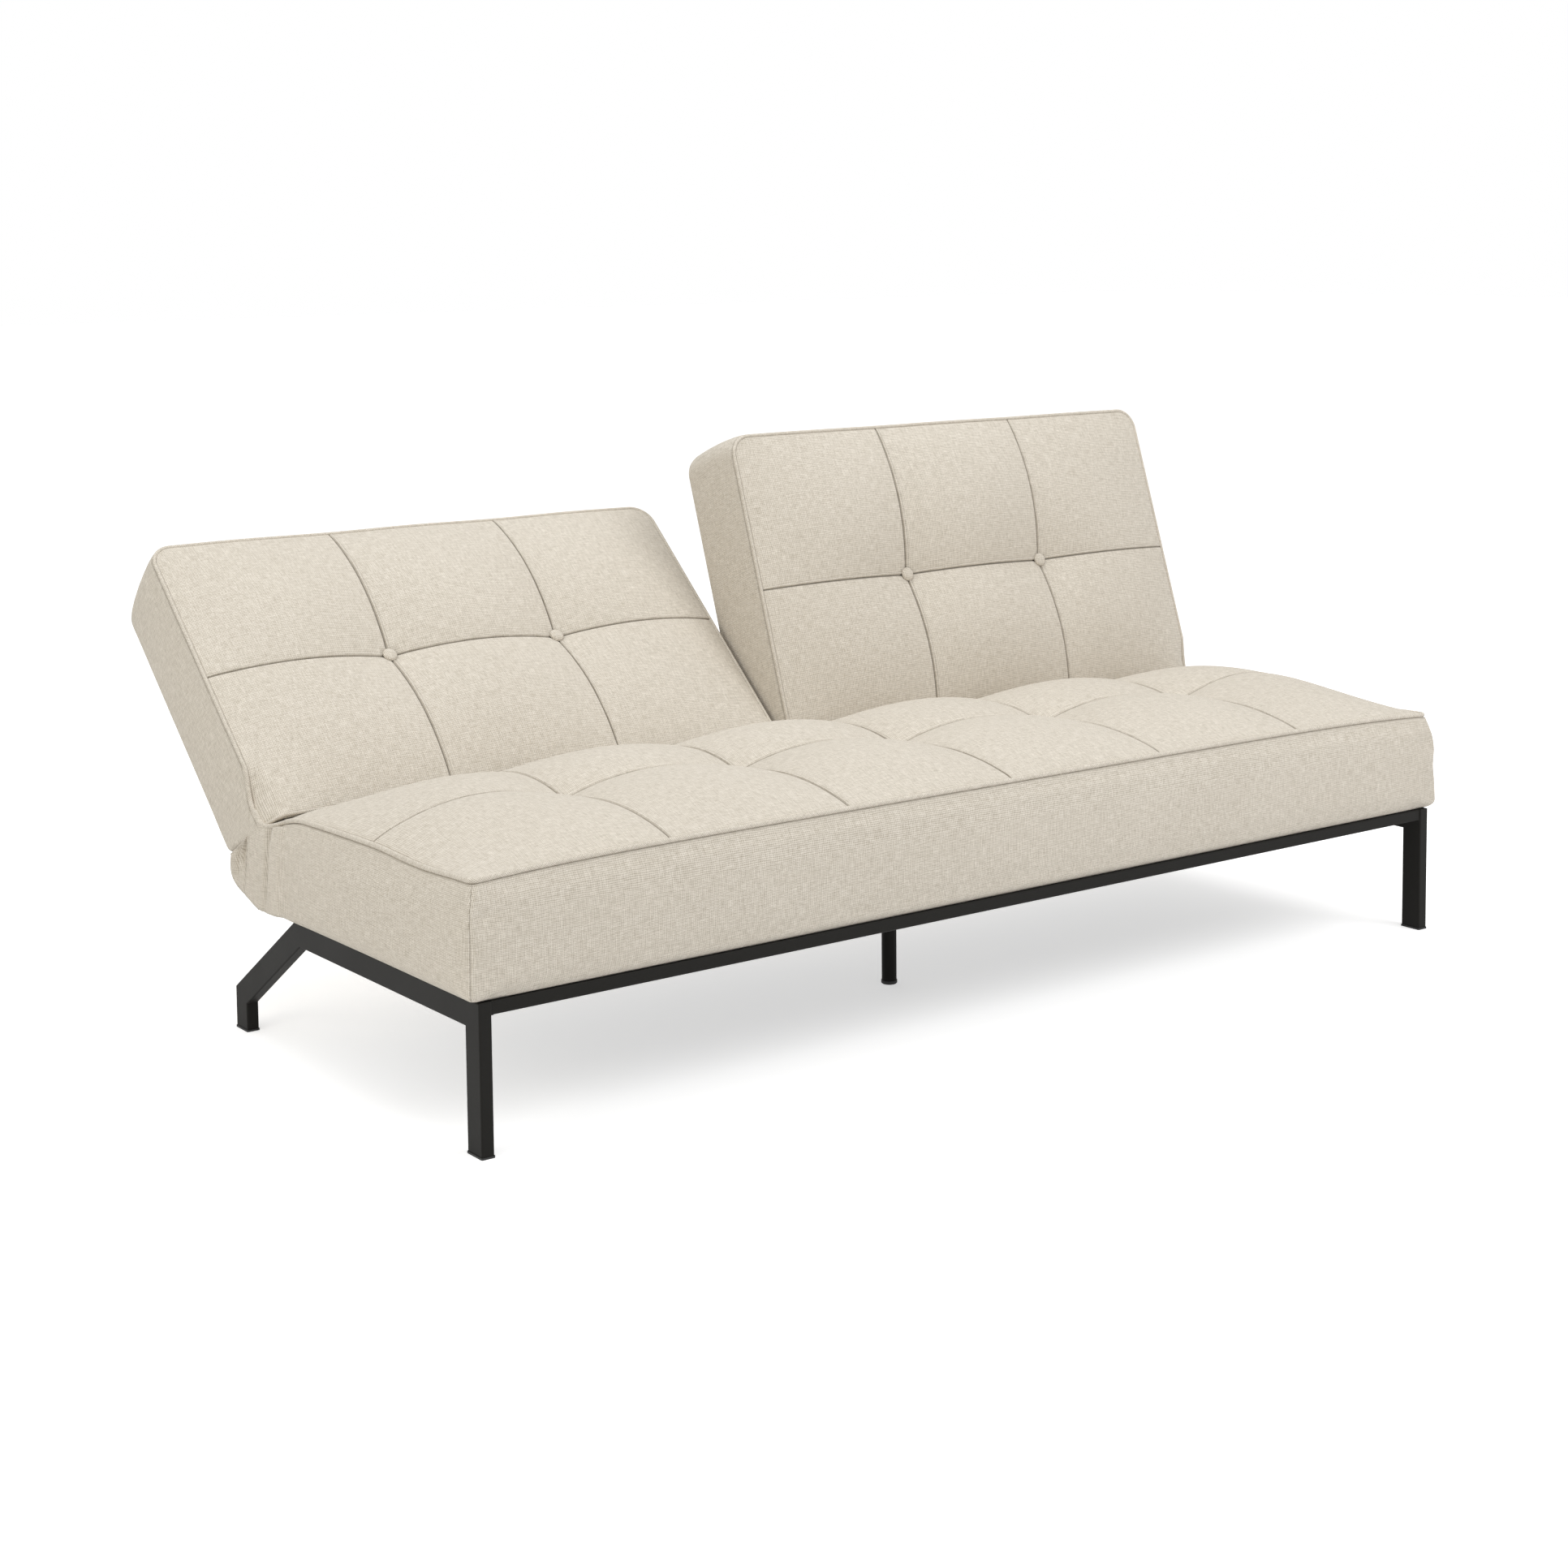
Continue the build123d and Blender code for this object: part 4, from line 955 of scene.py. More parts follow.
def back_border(side, back, trim):
    """Outlines of a back from its piping to its rear panel."""
    low_x, high_x = back_edges(side, back)
    ledge = back.face - trim.back_sink
    rear_round = 0.007
    walls = np.append(ledge - 0.001, np.linspace(ledge - 0.003, back.rear + rear_round, 14))
    depth = (ledge - walls) / (ledge - walls[-1])
    swell = back.swell * np.sin(np.pi * depth) ** 0.6
    rows = [(-ledge_share * trim.back_ledge, ledge + 0.001)]
    rows += list(zip(swell, walls))
    for angle in np.radians([25, 50, 70, 90]):
        rows.append((-rear_round * (1 - math.cos(angle)), walls[-1] - rear_round * math.sin(angle)))
    rows.append((-rear_round - 0.0015, back.rear + 0.0025))
    rows.append((-rear_round - 0.0035, back.rear + 0.0005))
    border = []
    for out, forward in rows:
        low = (low_x - out, back_foot(back, trim, forward) - min(out, 0.0))
        high = (high_x + out, back.height + out)
        tucked = np.clip((forward + 0.05) / (ledge + 0.05), 0, 1)
        tuck = back.foot_corner + (back.tuck - back.foot_corner) * tucked
        follow = 1 - np.clip((ledge - forward) / (ledge - back.rear), 0, 1)
        border.append((low, high, back_corners(side, back, tuck, 0), forward, follow))
    return border


def back_rim(back):
    """How far a back's piped edge stands out at each place round it."""

    def rim(across, up):
        return back.face + 0.002 * np.sin(np.pi * across) ** 2 * np.clip(up - 1, 0, 1)

    return rim


def back_roll(side, back):
    return {"left": back.left_roll, "right": back.right_roll}[side]


def back_tuck(side, back):
    """How far the lower outer corner of a back's face is drawn to the rear."""

    def tuck(across, up):
        height = back.foot + up / 2 * (back.height - back.foot)
        turned = np.clip((back.roll_high - height) / (back.roll_high - back.roll_low), 0, 1)
        from_outer = across if sides[side] < 0 else back.columns - across
        near = np.clip(1 - 9 * from_outer, 0, 1) ** 2
        return back_roll(side, back) * near * turned**2 * (3 - 2 * turned)

    return tuck


class SOFA_OT_backs(bpy.types.Operator):
    """Makes the two tufted back cushions"""

    bl_idname = "sofa.backs"
    bl_label = "Back Cushions"

    def execute(self, context):
        _, back, trim = sizes_of(context)
        inset = trim.back_ledge
        for side in sides:
            low_x, high_x = back_edges(side, back)
            pad = Pad(
                (low_x + inset, back.foot + inset),
                (high_x - inset, back.height - inset),
                back_corners(side, back, back.tuck, inset),
                back.columns,
                (back.face, back.crown, back.long_seam, back.cross_seam, back.dip),
                back_rim(back),
                back_tuck(side, back),
                back_place(side),
                np.random.default_rng(11 + sides[side]),
            )
            inner = back.columns if sides[side] < 0 else 0
            piece = tufted_cushion(
                f"{side}_back_cushion",
                pad,
                back_border(side, back, trim),
                trim,
                pressures=(1.0, 1.6),
                still=lambda places: (places[:, 1] < 0.2) | (places[:, 0] == inner),
                crease=0.0,
                # painted shade round the buttons reaches a little past their rims
                button_shade_radius=1.25 * trim.button_radius,
            )
            nodes = f"{side}_back_cover", f"{side}_back_rear_panel"
            dress(piece, cloth_of(context), f"{side}_back", "fabric_beige", *nodes)
        return {"FINISHED"}


# Trim


def crease_points(side, seat, back, trim):
    """Four points of the piping that crosses from the seat to a back, the last two on the back."""
    outer = sides[side]
    from_rear, bulge, drop = 0.014, 0.008, 0.014
    seat_x = outer * (seat.half_length - trim.piping_radius)
    back_x = outer * (back.outer_x - trim.back_piping_radius)
    on_seat_y = seat.pad_rear_y - from_rear
    up = 2 * (on_seat_y - seat.front_y) / (seat.pad_rear_y - seat.front_y)
    seat_z = float(seat_rim(seat)(0.0, up) - seat_tuck(seat)(0.0, up)) - trim.sink + trim.piping_radius
    on_seat = np.array([seat_x, on_seat_y, seat_z])
    low_out = back.face - trim.back_sink + trim.back_piping_radius
    on_back = back_place(side)(np.array([back_x, back.roll_high, low_out]))
    turn = back_place(side)(np.array([back_x, back.roll_low, low_out - back_roll(side, back)]))
    bend = (on_seat + turn) / 2 + np.array([0, bulge, 0])
    bend[0] = outer * (seat.half_length + bulge)
    bend[2] = seat_z - drop
    return on_seat, bend, turn, on_back


def smooth_path(points, steps):
    """A smooth curve through points, with some steps between each pair."""
    places = np.arange((len(points) - 1) * steps + 1) / steps
    lines, shares = smooth_weights(places, len(points), False)
    return np.einsum("rkd,rk->rd", np.asarray(points)[lines], shares)


def round_loop(low, high, radii):
    """Even points along a rectangle's outline with round corners, anticlockwise from its lower left."""
    points = []
    for index, ((x, y, inward, upward), radius) in enumerate(zip(corners_of(low, high), radii)):
        for angle in np.radians(np.linspace(0, 90, 13) + 180 + 90 * index):
            across = x + radius * (inward + math.cos(angle))
            points.append((across, y + radius * (upward + math.sin(angle)), 0))
    return even_path(np.array(points), path_step, True)


def seat_cord(context):
    """The piping round the seat's top, from one end of the crease round the front to the other."""
    seat, back, trim = sizes_of(context)
    radius = trim.piping_radius
    corner = seat.corner - radius
    low = (-seat.half_length + radius, seat.front_y + radius)
    high = (seat.half_length - radius, seat.pad_rear_y + corner)
    outline = round_loop(low, high, (corner,) * 4)
    ends = [crease_points(side, seat, back, trim)[0] for side in sides]
    outline = outline[outline[:, 1] < ends[0][1] - 0.004]
    start = np.argmax(np.linalg.norm(np.diff(outline, axis=0), axis=1)) + 1
    outline = np.roll(outline, -start, axis=0)
    across = (outline[:, 0] - low[0]) / (high[0] - low[0]) * seat.columns
    up = (outline[:, 1] - low[1]) / (seat.pad_rear_y - low[1]) * 2
    outline[:, 2] = seat_rim(seat)(across, up) - seat_tuck(seat)(across, up) - trim.sink + radius
    path = np.concatenate([[ends[0]], outline, [ends[1]]])
    piece = tube("seat_piping_cord", even_path(path, path_step, False), radius, False)
    dress(piece, cloth_of(context), "base", "fabric_beige", "seat_piping")


def back_cord(context, side):
    """The piping round a back's face."""
    _, back, trim = sizes_of(context)
    low_x, high_x = back_edges(side, back)
    radius = trim.back_piping_radius
    low = (low_x + radius, back.foot + radius)
    high = (high_x - radius, back.height - radius)
    outline = round_loop(low, high, back_corners(side, back, back.tuck, radius))
    across = (outline[:, 0] - low[0]) / (high[0] - low[0]) * back.columns
    up = (outline[:, 1] - low[1]) / (high[1] - low[1]) * 2
    outline[:, 2] = back_rim(back)(across, up) - back_tuck(side, back)(across, up) - trim.back_sink + radius
    piece = tube(f"{side}_back_piping_cord", back_place(side)(outline), radius, True)
    dress(piece, cloth_of(context), f"{side}_back", "fabric_beige", f"{side}_back_piping")


def crease_cord(context, side):
    """The piping that crosses from the seat to a back."""
    seat, back, trim = sizes_of(context)
    points = crease_points(side, seat, back, trim)
    path = even_path(smooth_path(points, 10), 0.004, False)
    radius = (trim.piping_radius + trim.back_piping_radius) / 2
    piece = tube(f"{side}_crease_piping", path, radius, False)
    piece.data.materials.append(cloth_of(context))
    tuple(points[0])
    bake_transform(piece)


class SOFA_OT_piping(bpy.types.Operator):
    """Makes the piping round the seat's top and each back's face, and where it crosses between them"""

    bl_idname = "sofa.piping"
    bl_label = "Piping"

    def execute(self, context):
        seat_cord(context)
        for side in sides:
            back_cord(context, side)
            crease_cord(context, side)
        return {"FINISHED"}


class SOFA_OT_buttons(bpy.types.Operator):
    """Makes the covered buttons of the backs"""

    bl_idname = "sofa.buttons"
    bl_label = "Covered Buttons"

    def execute(self, context):
        _, back, trim = sizes_of(context)
        around = 40
        lift = 0.0072  # from the bottom of the dip to a button's edge
        share = np.linspace(0, 1, 12)
        radii = trim.button_radius * np.concatenate([np.sin(share * np.pi / 2), [0.94, 0.7, 0.0]])
        rises = trim.button_rise * np.concatenate([np.cos(share * np.pi / 2) ** 0.9, [-0.14, -0.2, -0.2]])
        turn = np.linspace(0, 2 * np.pi, around + 1)
        for side in sides:
            low_x, high_x = back_edges(side, back)
            place = back_place(side)
            middle_y = (back.foot + back.height) / 2
            regions = []
            for column in range(1, back.columns):
                x = low_x + trim.back_ledge + (high_x - low_x - 2 * trim.back_ledge) * column / back.columns
                dome = np.stack(
                    [
                        x + radii[:, None] * np.cos(turn),
                        middle_y + radii[:, None] * np.sin(turn),
                        back.dip + lift + rises[:, None] + 0 * turn,
                    ],
                    axis=2,
                )
                regions.append((place(dome), grid_quads(*dome.shape[:2]), dome[:, :, :2]))
            piece = mesh_object(f"{side}_back_button_covers", regions)
            dress(piece, cloth_of(context), f"{side}_back", "fabric_beige", f"{side}_back_buttons")
        return {"FINISHED"}


# Seams


def stitch_tree():
    """Nodes that lay a row of stitches along every curve."""
    tree = bpy.data.node_groups.new("stitch_rows", "GeometryNodeTree")
    inputs = {"Geometry": "Geometry", "Stitch length": "Float", "Thread radius": "Float"}
    inputs["Thread"] = "Material"
    for name, kind in inputs.items():
        tree.interface.new_socket(name, in_out="INPUT", socket_type=f"NodeSocket{kind}")
    tree.interface.new_socket("Geometry", in_out="OUTPUT", socket_type="NodeSocketGeometry")
    nodes = Tree(tree)
    given = nodes.add("NodeGroupInput").outputs
    along, thread = given["Stitch length"], given["Thread radius"]
    inputs = {"Curve": given["Geometry"], "Length": along}
    spaced = nodes.add("GeometryNodeResampleCurve", inputs, mode="LENGTH")
    bead = nodes.add("GeometryNodeMeshUVSphere", {"Segments": 6, "Rings": 4, "Radius": 1.0})
    inputs = {"X": nodes.math("MULTIPLY", along, 0.4), "Y": thread, "Z": thread}
    scale = nodes.add("ShaderNodeCombineXYZ", inputs).outputs[0]
    stitch = nodes.add("GeometryNodeTransform", {"Geometry": bead.outputs["Mesh"], "Scale": scale})
    ahead = nodes.add("GeometryNodeInputTangent").outputs[0]
    turn = nodes.add("FunctionNodeAlignRotationToVector", {"Vector": ahead}, axis="X")
    inputs = {
        "Points": spaced.outputs["Curve"],
        "Instance": stitch.outputs["Geometry"],
        "Rotation": turn.outputs[0],
    }
    placed = nodes.add("GeometryNodeInstanceOnPoints", inputs).outputs["Instances"]
    real = nodes.add("GeometryNodeRealizeInstances", {"Geometry": placed}).outputs["Geometry"]
    finish = nodes.add("GeometryNodeSetMaterial", {"Geometry": real, "Material": given["Thread"]})
    nodes.add("NodeGroupOutput", {"Geometry": finish.outputs["Geometry"]})
    return tree


def plain_mesh(source, name):
    """A new object with the shape that source has after its modifiers; source is deleted."""
    shaped = source.evaluated_get(bpy.context.evaluated_depsgraph_get())
    mesh = bpy.data.meshes.new_from_object(shaped)
    mesh.name = name
    bpy.data.objects.remove(source)
    piece = bpy.data.objects.new(name, mesh)
    bpy.context.scene.collection.objects.link(piece)
    return piece


class SOFA_OT_stitches(bpy.types.Operator):
    """Sews stitches along the seams of the cushions"""

    bl_idname = "sofa.stitches"
    bl_label = "Stitches"

    def execute(self, context):
        trim = context.scene.sofa_trim
        tree = stitch_tree()
        sockets = [item for item in tree.interface.items_tree if item.in_out == "INPUT"]
        inputs = {socket.name: socket.identifier for socket in sockets}
        thread = twisted_thread(context.scene.sofa_finishes)
        for body, lines in sew_lines.items():
            curve = bpy.data.curves.new(f"{body}_seam_lines", "CURVE")
            curve.dimensions = "3D"
            for line in lines:
                spline = curve.splines.new("POLY")
                spline.points.add(len(line) - 1)
                spline.points.foreach_set("co", np.column_stack([line, np.ones(len(line))]).ravel())
            seam = bpy.data.objects.new(f"{body}_seams", curve)
            context.scene.collection.objects.link(seam)
            rows = seam.modifiers.new("stitch_rows", "NODES")
            rows.node_group = tree
            rows[inputs["Stitch length"]] = trim.stitch
            rows[inputs["Thread radius"]] = trim.thread_radius
            rows[inputs["Thread"]] = thread
            piece = plain_mesh(seam, f"{body}_stitches")
            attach(piece, body)
        return {"FINISHED"}


def gusset_line(side, seat, back, trim, share):
    """The section of a gusset without its folds: (y, z) points from the seat's lower edge to the back's."""
    sag = {"left": trim.left_sag, "right": trim.right_sag}[side]
    hem = back.rear + trim.gusset_hem
    end = back_place(side)(np.array([0, back_foot(back, trim, hem) - 0.002, hem]))[1:]
    start = np.array([seat_cover_high.y + 0.0015, seat.bottom_z + 0.0005])
    chord = end - start
    down = np.array([chord[1], -chord[0]]) / np.linalg.norm(chord)
    first = start + 0.40 * chord + down * 0.3 * sag
    second = start + 0.85 * chord + down * 2.6 * sag
    t = share[:, None]
    line = start * (1 - t) ** 3 + 3 * first * t * (1 - t) ** 2 + 3 * second * t**2 * (1 - t) + end * t**3
    return line, down


def gusset_ends(side, seat, trim):
    """Where a gusset ends: short of the sofa's middle, and inside the web at the seat's end."""
    low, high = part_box(f"{side}_gusset")
    inner = min(abs(low.x), abs(high.x)) - trim.gusset_reach
    return sides[side] * inner, sides[side] * (seat.half_length + trim.gusset_lap)


class SOFA_OT_gussets(bpy.types.Operator):
    """Hangs a loose gusset between the seat and each back"""

    bl_idname = "sofa.gussets"
    bl_label = "Gussets"

    def execute(self, context):
        seat, back, trim = sizes_of(context)
        depths = {"left": 0.0055, "right": 0.0025}  # of the folds
        calm_width = 0.05  # from each end, where the folds die away
        share = np.linspace(0, 1, 61)
        free = np.sin(np.pi * share) ** 0.7
        for side in sides:
            inner, outer = gusset_ends(side, seat, trim)
            ends = sorted((inner, outer))
            across = np.linspace(*ends, 97)
            calm = np.clip(np.minimum(across - ends[0], ends[1] - across) / calm_width, 0, 1) ** 0.5
            width = ends[1] - ends[0]
            place = (across - ends[0]) / width
            shift = 0.6 * np.sin(2 * np.pi * 1.5 * place)
            shift += 0.5 * np.sin(2 * np.pi * 3.3 * place + sides[side])
            folds = np.sin(2 * np.pi * 3 * share[:, None] + shift) * free[:, None]
            folds *= depths[side] * (1 + 0.35 * np.sin(2 * np.pi * 4.3 * place)) * calm
            line, down = gusset_line(side, seat, back, trim, share)
            points = np.empty((len(share), len(across), 3))
            points[:, :, 0] = across
            points[:, :, 1:] = line[:, None] + down * folds[:, :, None]
            lengths = np.linalg.norm(np.diff(points, axis=0), axis=2).mean(axis=1)
            lengths = np.concatenate([[0], np.cumsum(lengths)])
            texture = np.stack(np.meshgrid(across, lengths), axis=2)
            sheet = mesh_object(f"{side}_gusset_sheet", [(points, grid_quads(*points.shape[:2]), texture)])
            piece = walled(sheet, trim.gusset_wall, f"{side}_gusset_cloth")
            piece.data.materials.append(cloth_of(context))
            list(line[0])
            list(line[-1])
            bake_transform(piece)
            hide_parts(f"{side}_gusset")
        return {"FINISHED"}


def walled(sheet, thickness, name):
    """A sheet with a thickness, as a new object."""
    wall = sheet.modifiers.new("wall", "SOLIDIFY")
    wall.thickness = thickness
    wall.offset = 0
    return plain_mesh(sheet, name)


def hang_web(context, name, points, texture, foot, depth):
    """Makes a web of cloth, with a thickness, from a grid of points between the seat and a back."""
    # depth is how much painted shade darkens each point of the web.
    sheet = mesh_object(f"{name}_sheet", [(points, grid_quads(*points.shape[:2]), texture, depth)])
    piece = walled(sheet, context.scene.sofa_trim.gusset_wall, name)
    piece.data.materials.append(cloth_of(context))
    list(foot[0])
    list(foot[-1])
    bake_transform(piece)
    along = float(lengths_along(foot)[-1])


def end_web(context, side, share, down_web):
    """Closes the outer end of a crease with a web from the seat's wall to the back's side."""
    seat, back, trim = sizes_of(context)
    crease_at, seam_at = 0.18, 0.50  # shares of the way from the seat to the back's rear
    on_seat, bend, turn, _ = crease_points(side, seat, back, trim)
    place = back_place(side)
    hangs_from = 0.25  # share of the foot that lies along the seat's end
    edge = ((-0.030, 0.003), (-0.106, -0.004))  # out from the hinge axis and up from the underside
    on_side = [place(np.array([0, back_foot(back, trim, out) + up, out])) for out, up in edge]
    start = on_seat + np.array([0, -0.016, -0.004])  # under the seat's piping
    head = smooth_path([start, bend, turn, *on_side], 16)[:, 1:]
    hung_share = np.clip((share - hangs_from) / (1 - hangs_from), 0, 1)
    hung, _ = gusset_line(side, seat, back, trim, hung_share)
    corner = np.array([start[1] + 0.006, seat.bottom_z + 0.004])
    foot = hung + np.clip(1 - share / hangs_from, 0, 1)[:, None] * (corner - hung[0])
    smoothing_rounds = 30
    for _ in range(smoothing_rounds):
        foot[1:-1] = (foot[:-2] + 2 * foot[1:-1] + foot[2:]) / 4
    section = head[None] + (foot - head)[None] * down_web[:, None, None]
    over_seat = seat_swell(seat, trim, section[:, :, 1]) + 0.0012 + 0.002 * share
    emerge = 0.006 * np.clip(1 - share / 0.06, 0, 1)
    on_back = 0.0150 - 0.002 * down_web[:, None]
    rear = np.clip((share - crease_at) / 0.4, 0, 1)
    even_foot = 1 - 0.8 * down_web[:, None] ** 5
    crease = bell(share - crease_at, 0.018) * even_foot
    seam = bell(share - seam_at, 0.010) * even_foot
    bunched = 0.008 * np.clip((share - 0.52) / 0.1, 0, 1) * np.clip((1 - share) / 0.15, 0, 1)
    folds = np.sin(2 * np.pi * (4.2 * share[None] + 0.9 * down_web[:, None])) * bunched
    hang = np.sin(np.pi * down_web)[:, None]
    out = over_seat * (1 - rear) + on_back * rear + (folds - 0.5 * bunched) * hang
    out -= emerge + 0.008 * crease + 0.005 * seam
    points = np.empty(section.shape[:2] + (3,))
    points[:, :, 1:] = section
    points[:, :, 0] = sides[side] * (seat.half_length + out)
    reach = np.array([0.060, 0.030, 0.010])[:, None]
    flap = np.repeat(points[:1], len(reach), axis=0)
    flap[:, :, 0] -= sides[side] * reach
    flap[:, :, 2] += 0.35 * reach * bell(share - 0.17, 0.09) - 0.1 * reach
    points = np.concatenate([flap, points])
    texture = points[:, :, 1:] - np.array([0, seat.edge_z])
    texture[: len(reach), :, 1] += 1.15 * reach
    # Painted shade in the web's crease and along its seam.
    depth = np.concatenate([np.zeros(flap.shape[:2]), 0.35 * crease + 0.6 * seam])
    hang_web(context, f"{side}_end_web", points, texture, foot, depth)


def inner_web(context, side, share, down_web):
    """Closes the inner end of a gusset, in the middle of the sofa."""
    seat, back, trim = sizes_of(context)
    inner, _ = gusset_ends(side, seat, trim)
    line, _ = gusset_line(side, seat, back, trim, share)
    head = line[0] + (line[-1] - line[0]) * share[:, None]
    head[:, 1] += (seat.step_z - 0.006 - line[0, 1]) * (1 - share)
    section = head[None] + (line - head)[None] * down_web[:, None, None]
    points = np.empty(section.shape[:2] + (3,))
    points[:, :, 0] = inner
    points[:, :, 1:] = section
    hang_web(context, f"{side}_inner_web", points, section, line, np.zeros(section.shape[:2]))


class SOFA_OT_webs(bpy.types.Operator):
    """Closes the ends of the crease between the seat and each back with webs of cloth"""

    bl_idname = "sofa.webs"
    bl_label = "End Webs"

    def execute(self, context):
        share = np.linspace(0, 1, 65)
        down_web = np.linspace(0, 1, 29)
        for side in sides:
            end_web(context, side, share, down_web)
            inner_web(context, side, share, down_web)
        return {"FINISHED"}


# Hard parts


class SOFA_OT_finishes(bpy.types.Operator):
    """Paints the steel frame and finishes the boards, the hinges and the other hard parts"""

    bl_idname = "sofa.finishes"
    bl_label = "Frame Finishes"

    def execute(self, context):
        finishes = context.scene.sofa_finishes
        even, long_grain, ribbed = (1, 1, 1), (0.06, 1, 1), (1, 0.2, 1)
        black, soft_black = (0.012,) * 3, (0.022,) * 3
        strap, pale_strap = (0.03, 0.03, 0.032), (0.08, 0.078, 0.075)
        foam, pale_foam = (0.78, 0.74, 0.58), (0.88, 0.85, 0.70)
        pine, pine_grain = (0.60, 0.42, 0.24), (0.36, 0.22, 0.11)
        zinc, pale_zinc = (0.30, 0.30, 0.29), (0.42, 0.415, 0.40)
        looks = {
            "frame_black": powder_coat(finishes),
            "foot_plastic": grained("foot_plastic", black, soft_black, 220, even, 0.5, 0.15),
            "underside_cloth": grained("underside_felt", black, (0.03,) * 3, 700, even, 0.8, 0.6),
            "webbing": grained("strap_webbing", strap, pale_strap, 500, ribbed, 0.7, 0.6),
            "foam": grained("seat_foam", foam, pale_foam, 900, even, 0.8, 0.5),
            "board": grained("pine_board", pine, pine_grain, 70, long_grain, 0.55, 0.2),
            "zinc_steel": grained("zinc_plate", zinc, pale_zinc, 60, even, 0.32, 0.08, 1.0),
        }
        for part in frame["record"]["subparts"]:
            look = looks.get(part["material_slot"])
            if look:
                finish_node(part["node"], look)
        return {"FINISHED"}


# Stage


class StageSizes(bpy.types.PropertyGroup):
    """The camera, the lamps and the floor"""

    camera_place: FloatVectorProperty(
        name="Camera place", description="Where it stands", subtype="XYZ", default=(-2.7346, -3.431, 1.2743)
    )
    yaw: FloatProperty(name="Yaw", description="Turn to the right, in degrees", default=36.355)
    pitch: FloatProperty(name="Pitch", description="Tilt above the horizon, in degrees", default=-5.709)
    roll: FloatProperty(name="Roll", description="Turn about the line of sight, in degrees", default=-0.53)
    lens: FloatProperty(name="Lens", description="Focal length in millimetres", default=61.556)
    rise: FloatProperty(name="Shift", description="Vertical shift of the frame", default=-0.1894)
    floor_colour: tone("Floor", "Pale floor", (0.86, 0.86, 0.86))


def aimed(place, target, size, power, tint, name):
    """A large soft lamp that faces a point."""
    data = bpy.data.lights.new(name, "AREA")
    data.shape = "DISK"
    data.size = size
    data.energy = power
    data.color = tint
    lamp = bpy.data.objects.new(name, data)
    lamp.location = place
    lamp.rotation_euler = (Vector(target) - Vector(place)).to_track_quat("-Z", "Y").to_euler()
    bpy.context.scene.collection.objects.link(lamp)


def seen_directly(nodes):
    """1 for rays from the camera and for mirrored or refracted ones, and 0 for the light on the sofa."""
    path = nodes.add("ShaderNodeLightPath").outputs
    total = path["Is Camera Ray"]
    for kind in ("Is Glossy Ray", "Is Transmission Ray"):
        total = nodes.math("MAXIMUM", total, path[kind])
    return total


def lay_floor(stage):
    """A wide sheet of pale paper that looks white in the picture."""
    half = 30.0
    across, away = np.meshgrid([-half, half], [-half, half])
    corners = np.stack([across, away, 0 * across], axis=2)
    floor = mesh_object("floor", [(corners, grid_quads(2, 2), corners[:, :, :2])])
    paper = Nodes("paper_floor")
    glow = paper.math("MULTIPLY", seen_directly(paper), 0.55)
    inputs = {"Base Color": colour(stage.floor_colour), "Roughness": 0.9}
    inputs |= {"Emission Color": (1, 1, 1, 1), "Emission Strength": glow}
    floor.data.materials.append(paper.finish(inputs))


def light_studio(scene):
    """A soft sky that is plain white behind the sofa, and three large lamps."""
    scene.world = bpy.data.worlds.new("studio")
    scene.world.use_nodes = True
    studio = Tree(scene.world.node_tree)
    nodes = studio.tree.nodes
    sky = nodes["Background"]
    sky.inputs["Color"].default_value = (1.0, 0.99, 0.975, 1.0)
    sky.inputs["Strength"].default_value = 0.62
    white = studio.add("ShaderNodeBackground", {"Color": (1.0, 1.0, 1.0, 1.0), "Strength": 1.0})
    inputs = {0: seen_directly(studio), 1: sky.outputs[0], 2: white.outputs[0]}
    mix = studio.add("ShaderNodeMixShader", inputs)
    studio.link(mix.outputs[0], nodes["World Output"].inputs["Surface"])
    aimed((1.6, -3.2, 3.6), (0, 0, 0.4), 2.6, 82, (0.985, 0.99, 1.0), "key_lamp")
    aimed((-0.5, 0.6, 4.2), (0, 0.1, 0.4), 3.0, 61, (0.95, 0.975, 1.0), "top_lamp")
    aimed((-4.2, -0.6, 1.7), (-0.8, 0, 0.35), 2.4, 30, (1.0, 0.97, 0.88), "left_lamp")


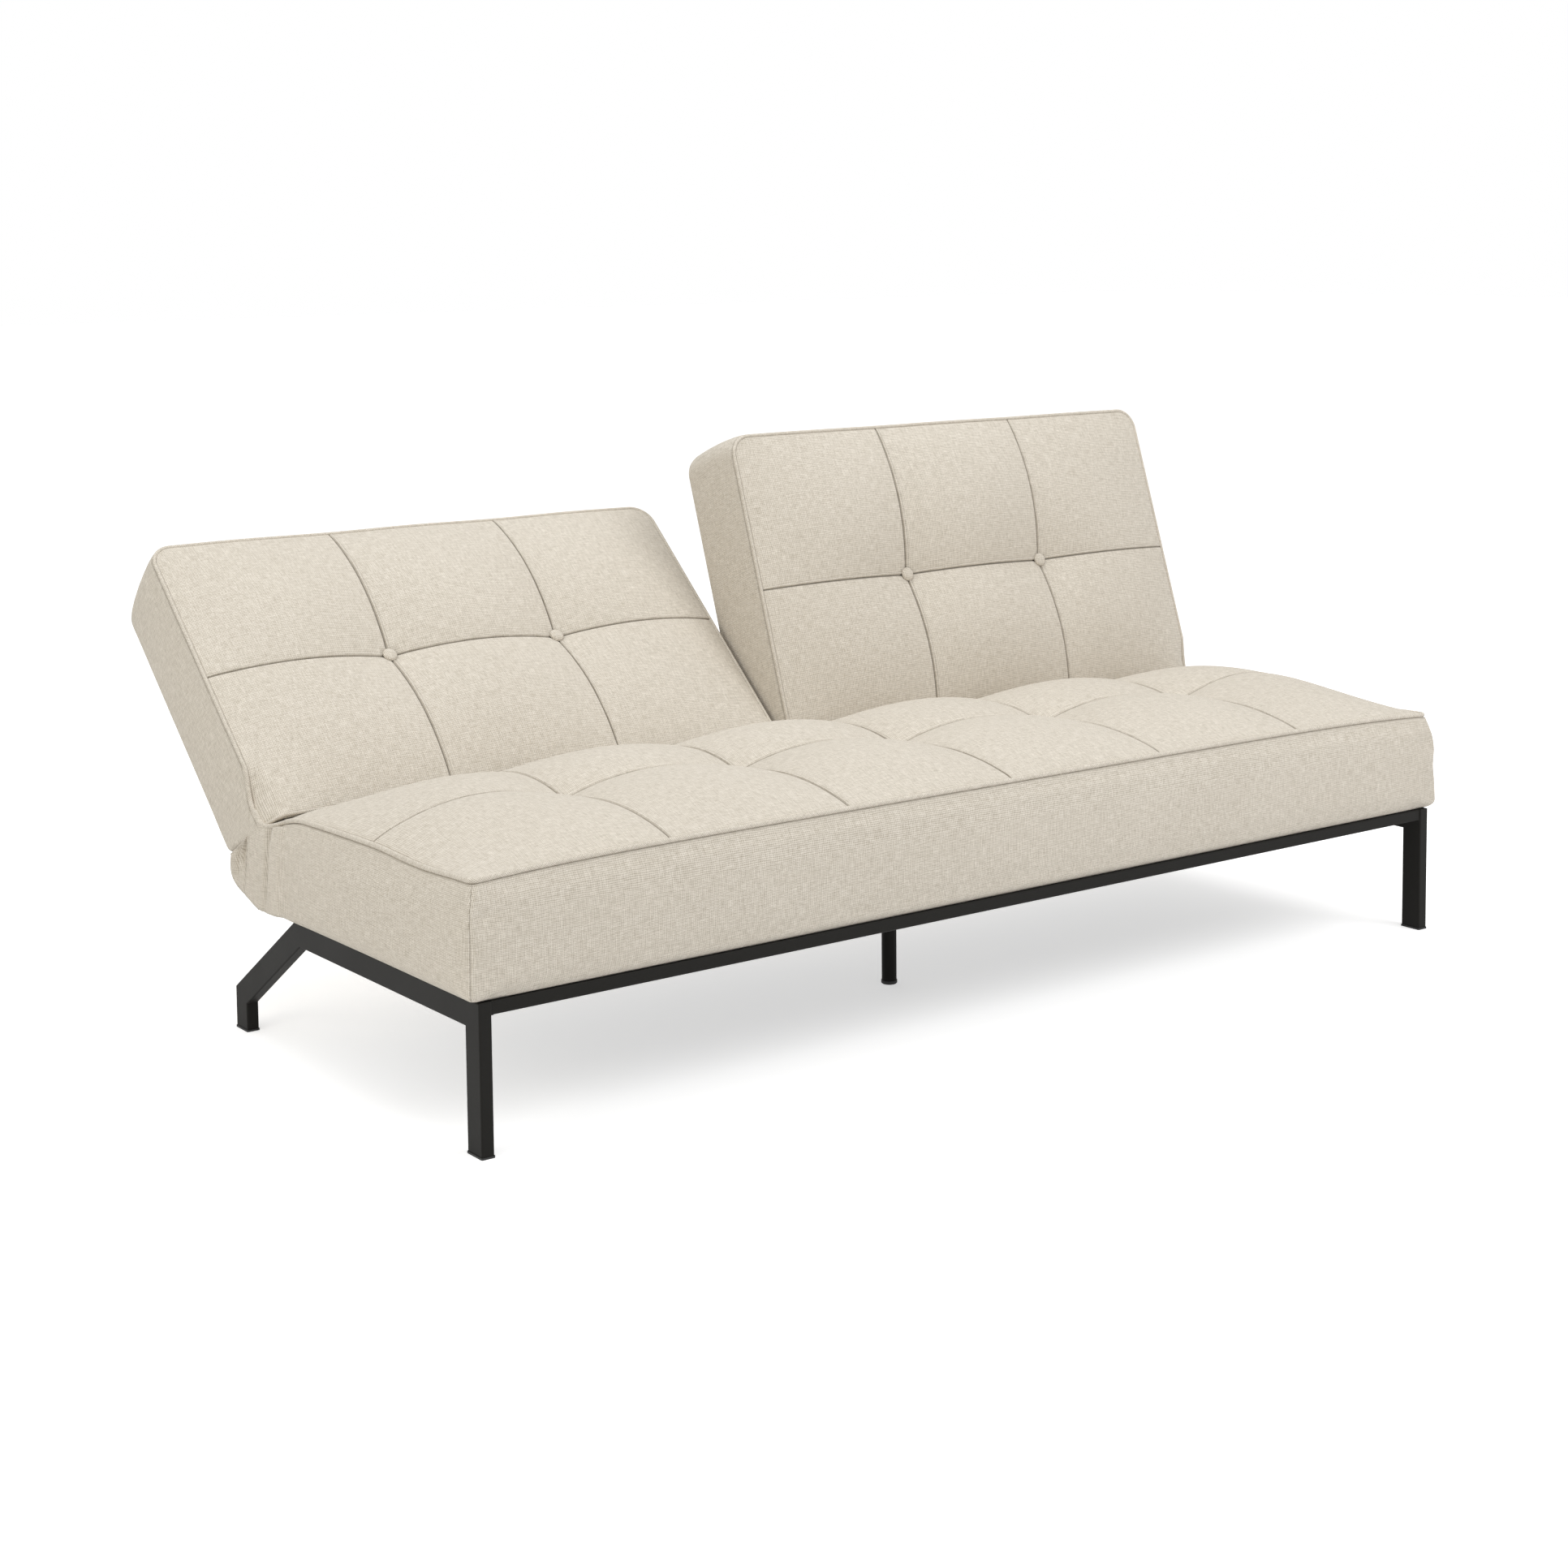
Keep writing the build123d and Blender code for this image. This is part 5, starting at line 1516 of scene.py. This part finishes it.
def set_camera(scene, stage):
    """The camera, where the photograph was taken from."""
    data = bpy.data.cameras.new("camera")
    data.sensor_width = 36.0
    data.lens = stage.lens
    data.shift_y = stage.rise
    camera = bpy.data.objects.new("camera", data)
    yaw, pitch, roll = (math.radians(angle) for angle in (stage.yaw, stage.pitch, stage.roll))
    ahead = Vector((math.sin(yaw) * math.cos(pitch), math.cos(yaw) * math.cos(pitch), math.sin(pitch)))
    level = ahead.cross(Vector((0, 0, 1))).normalized()
    up = level.cross(ahead)
    right = math.cos(roll) * level + math.sin(roll) * up
    top = -math.sin(roll) * level + math.cos(roll) * up
    turned = Matrix((right, top, -ahead)).transposed().to_4x4()
    camera.matrix_world = Matrix.Translation(Vector(stage.camera_place)) @ turned
    scene.collection.objects.link(camera)
    scene.camera = camera


class SOFA_OT_stage(bpy.types.Operator):
    """Sets up the floor, the studio light and the camera"""

    bl_idname = "sofa.stage"
    bl_label = "Stage"

    def execute(self, context):
        scene = context.scene
        scene.view_settings.view_transform = "Standard"
        lay_floor(scene.sofa_stage)
        light_studio(scene)
        set_camera(scene, scene.sofa_stage)
        return {"FINISHED"}


operators = (
    SOFA_OT_finishes,
    SOFA_OT_seat,
    SOFA_OT_backs,
    SOFA_OT_piping,
    SOFA_OT_buttons,
    SOFA_OT_stitches,
    SOFA_OT_gussets,
    SOFA_OT_webs,
    SOFA_OT_stage,
)
groups = {
    "sofa_seat": SeatSizes,
    "sofa_back": BackSizes,
    "sofa_trim": TrimSizes,
    "sofa_finishes": Finishes,
    "sofa_stage": StageSizes,
}


class SOFA_PT_panel(bpy.types.Panel):
    """Sizes, finishes and operators of the sofa bed"""

    bl_idname = "SOFA_PT_panel"
    bl_label = "Sofa Bed"
    bl_space_type = "VIEW_3D"
    bl_region_type = "UI"
    bl_category = "Sofa Bed"

    def draw(self, context):
        for name, group in groups.items():
            box = self.layout.box()
            box.label(text=group.__doc__)
            for size in group.__annotations__:
                box.prop(getattr(context.scene, name), size)
        for operator in operators:
            self.layout.operator(operator.bl_idname)


def register():
    for name, group in groups.items():
        bpy.utils.register_class(group)
        setattr(bpy.types.Scene, name, PointerProperty(type=group))
    for kind in operators + (SOFA_PT_panel,):
        bpy.utils.register_class(kind)


def unregister():
    for kind in operators + (SOFA_PT_panel,):
        bpy.utils.unregister_class(kind)
    for name, group in groups.items():
        delattr(bpy.types.Scene, name)
        bpy.utils.unregister_class(group)


def main():
    register()
    for operator in operators:
        family, name = operator.bl_idname.split(".")
        getattr(getattr(bpy.ops, family), name)()


if __name__ == "__main__":
    main()
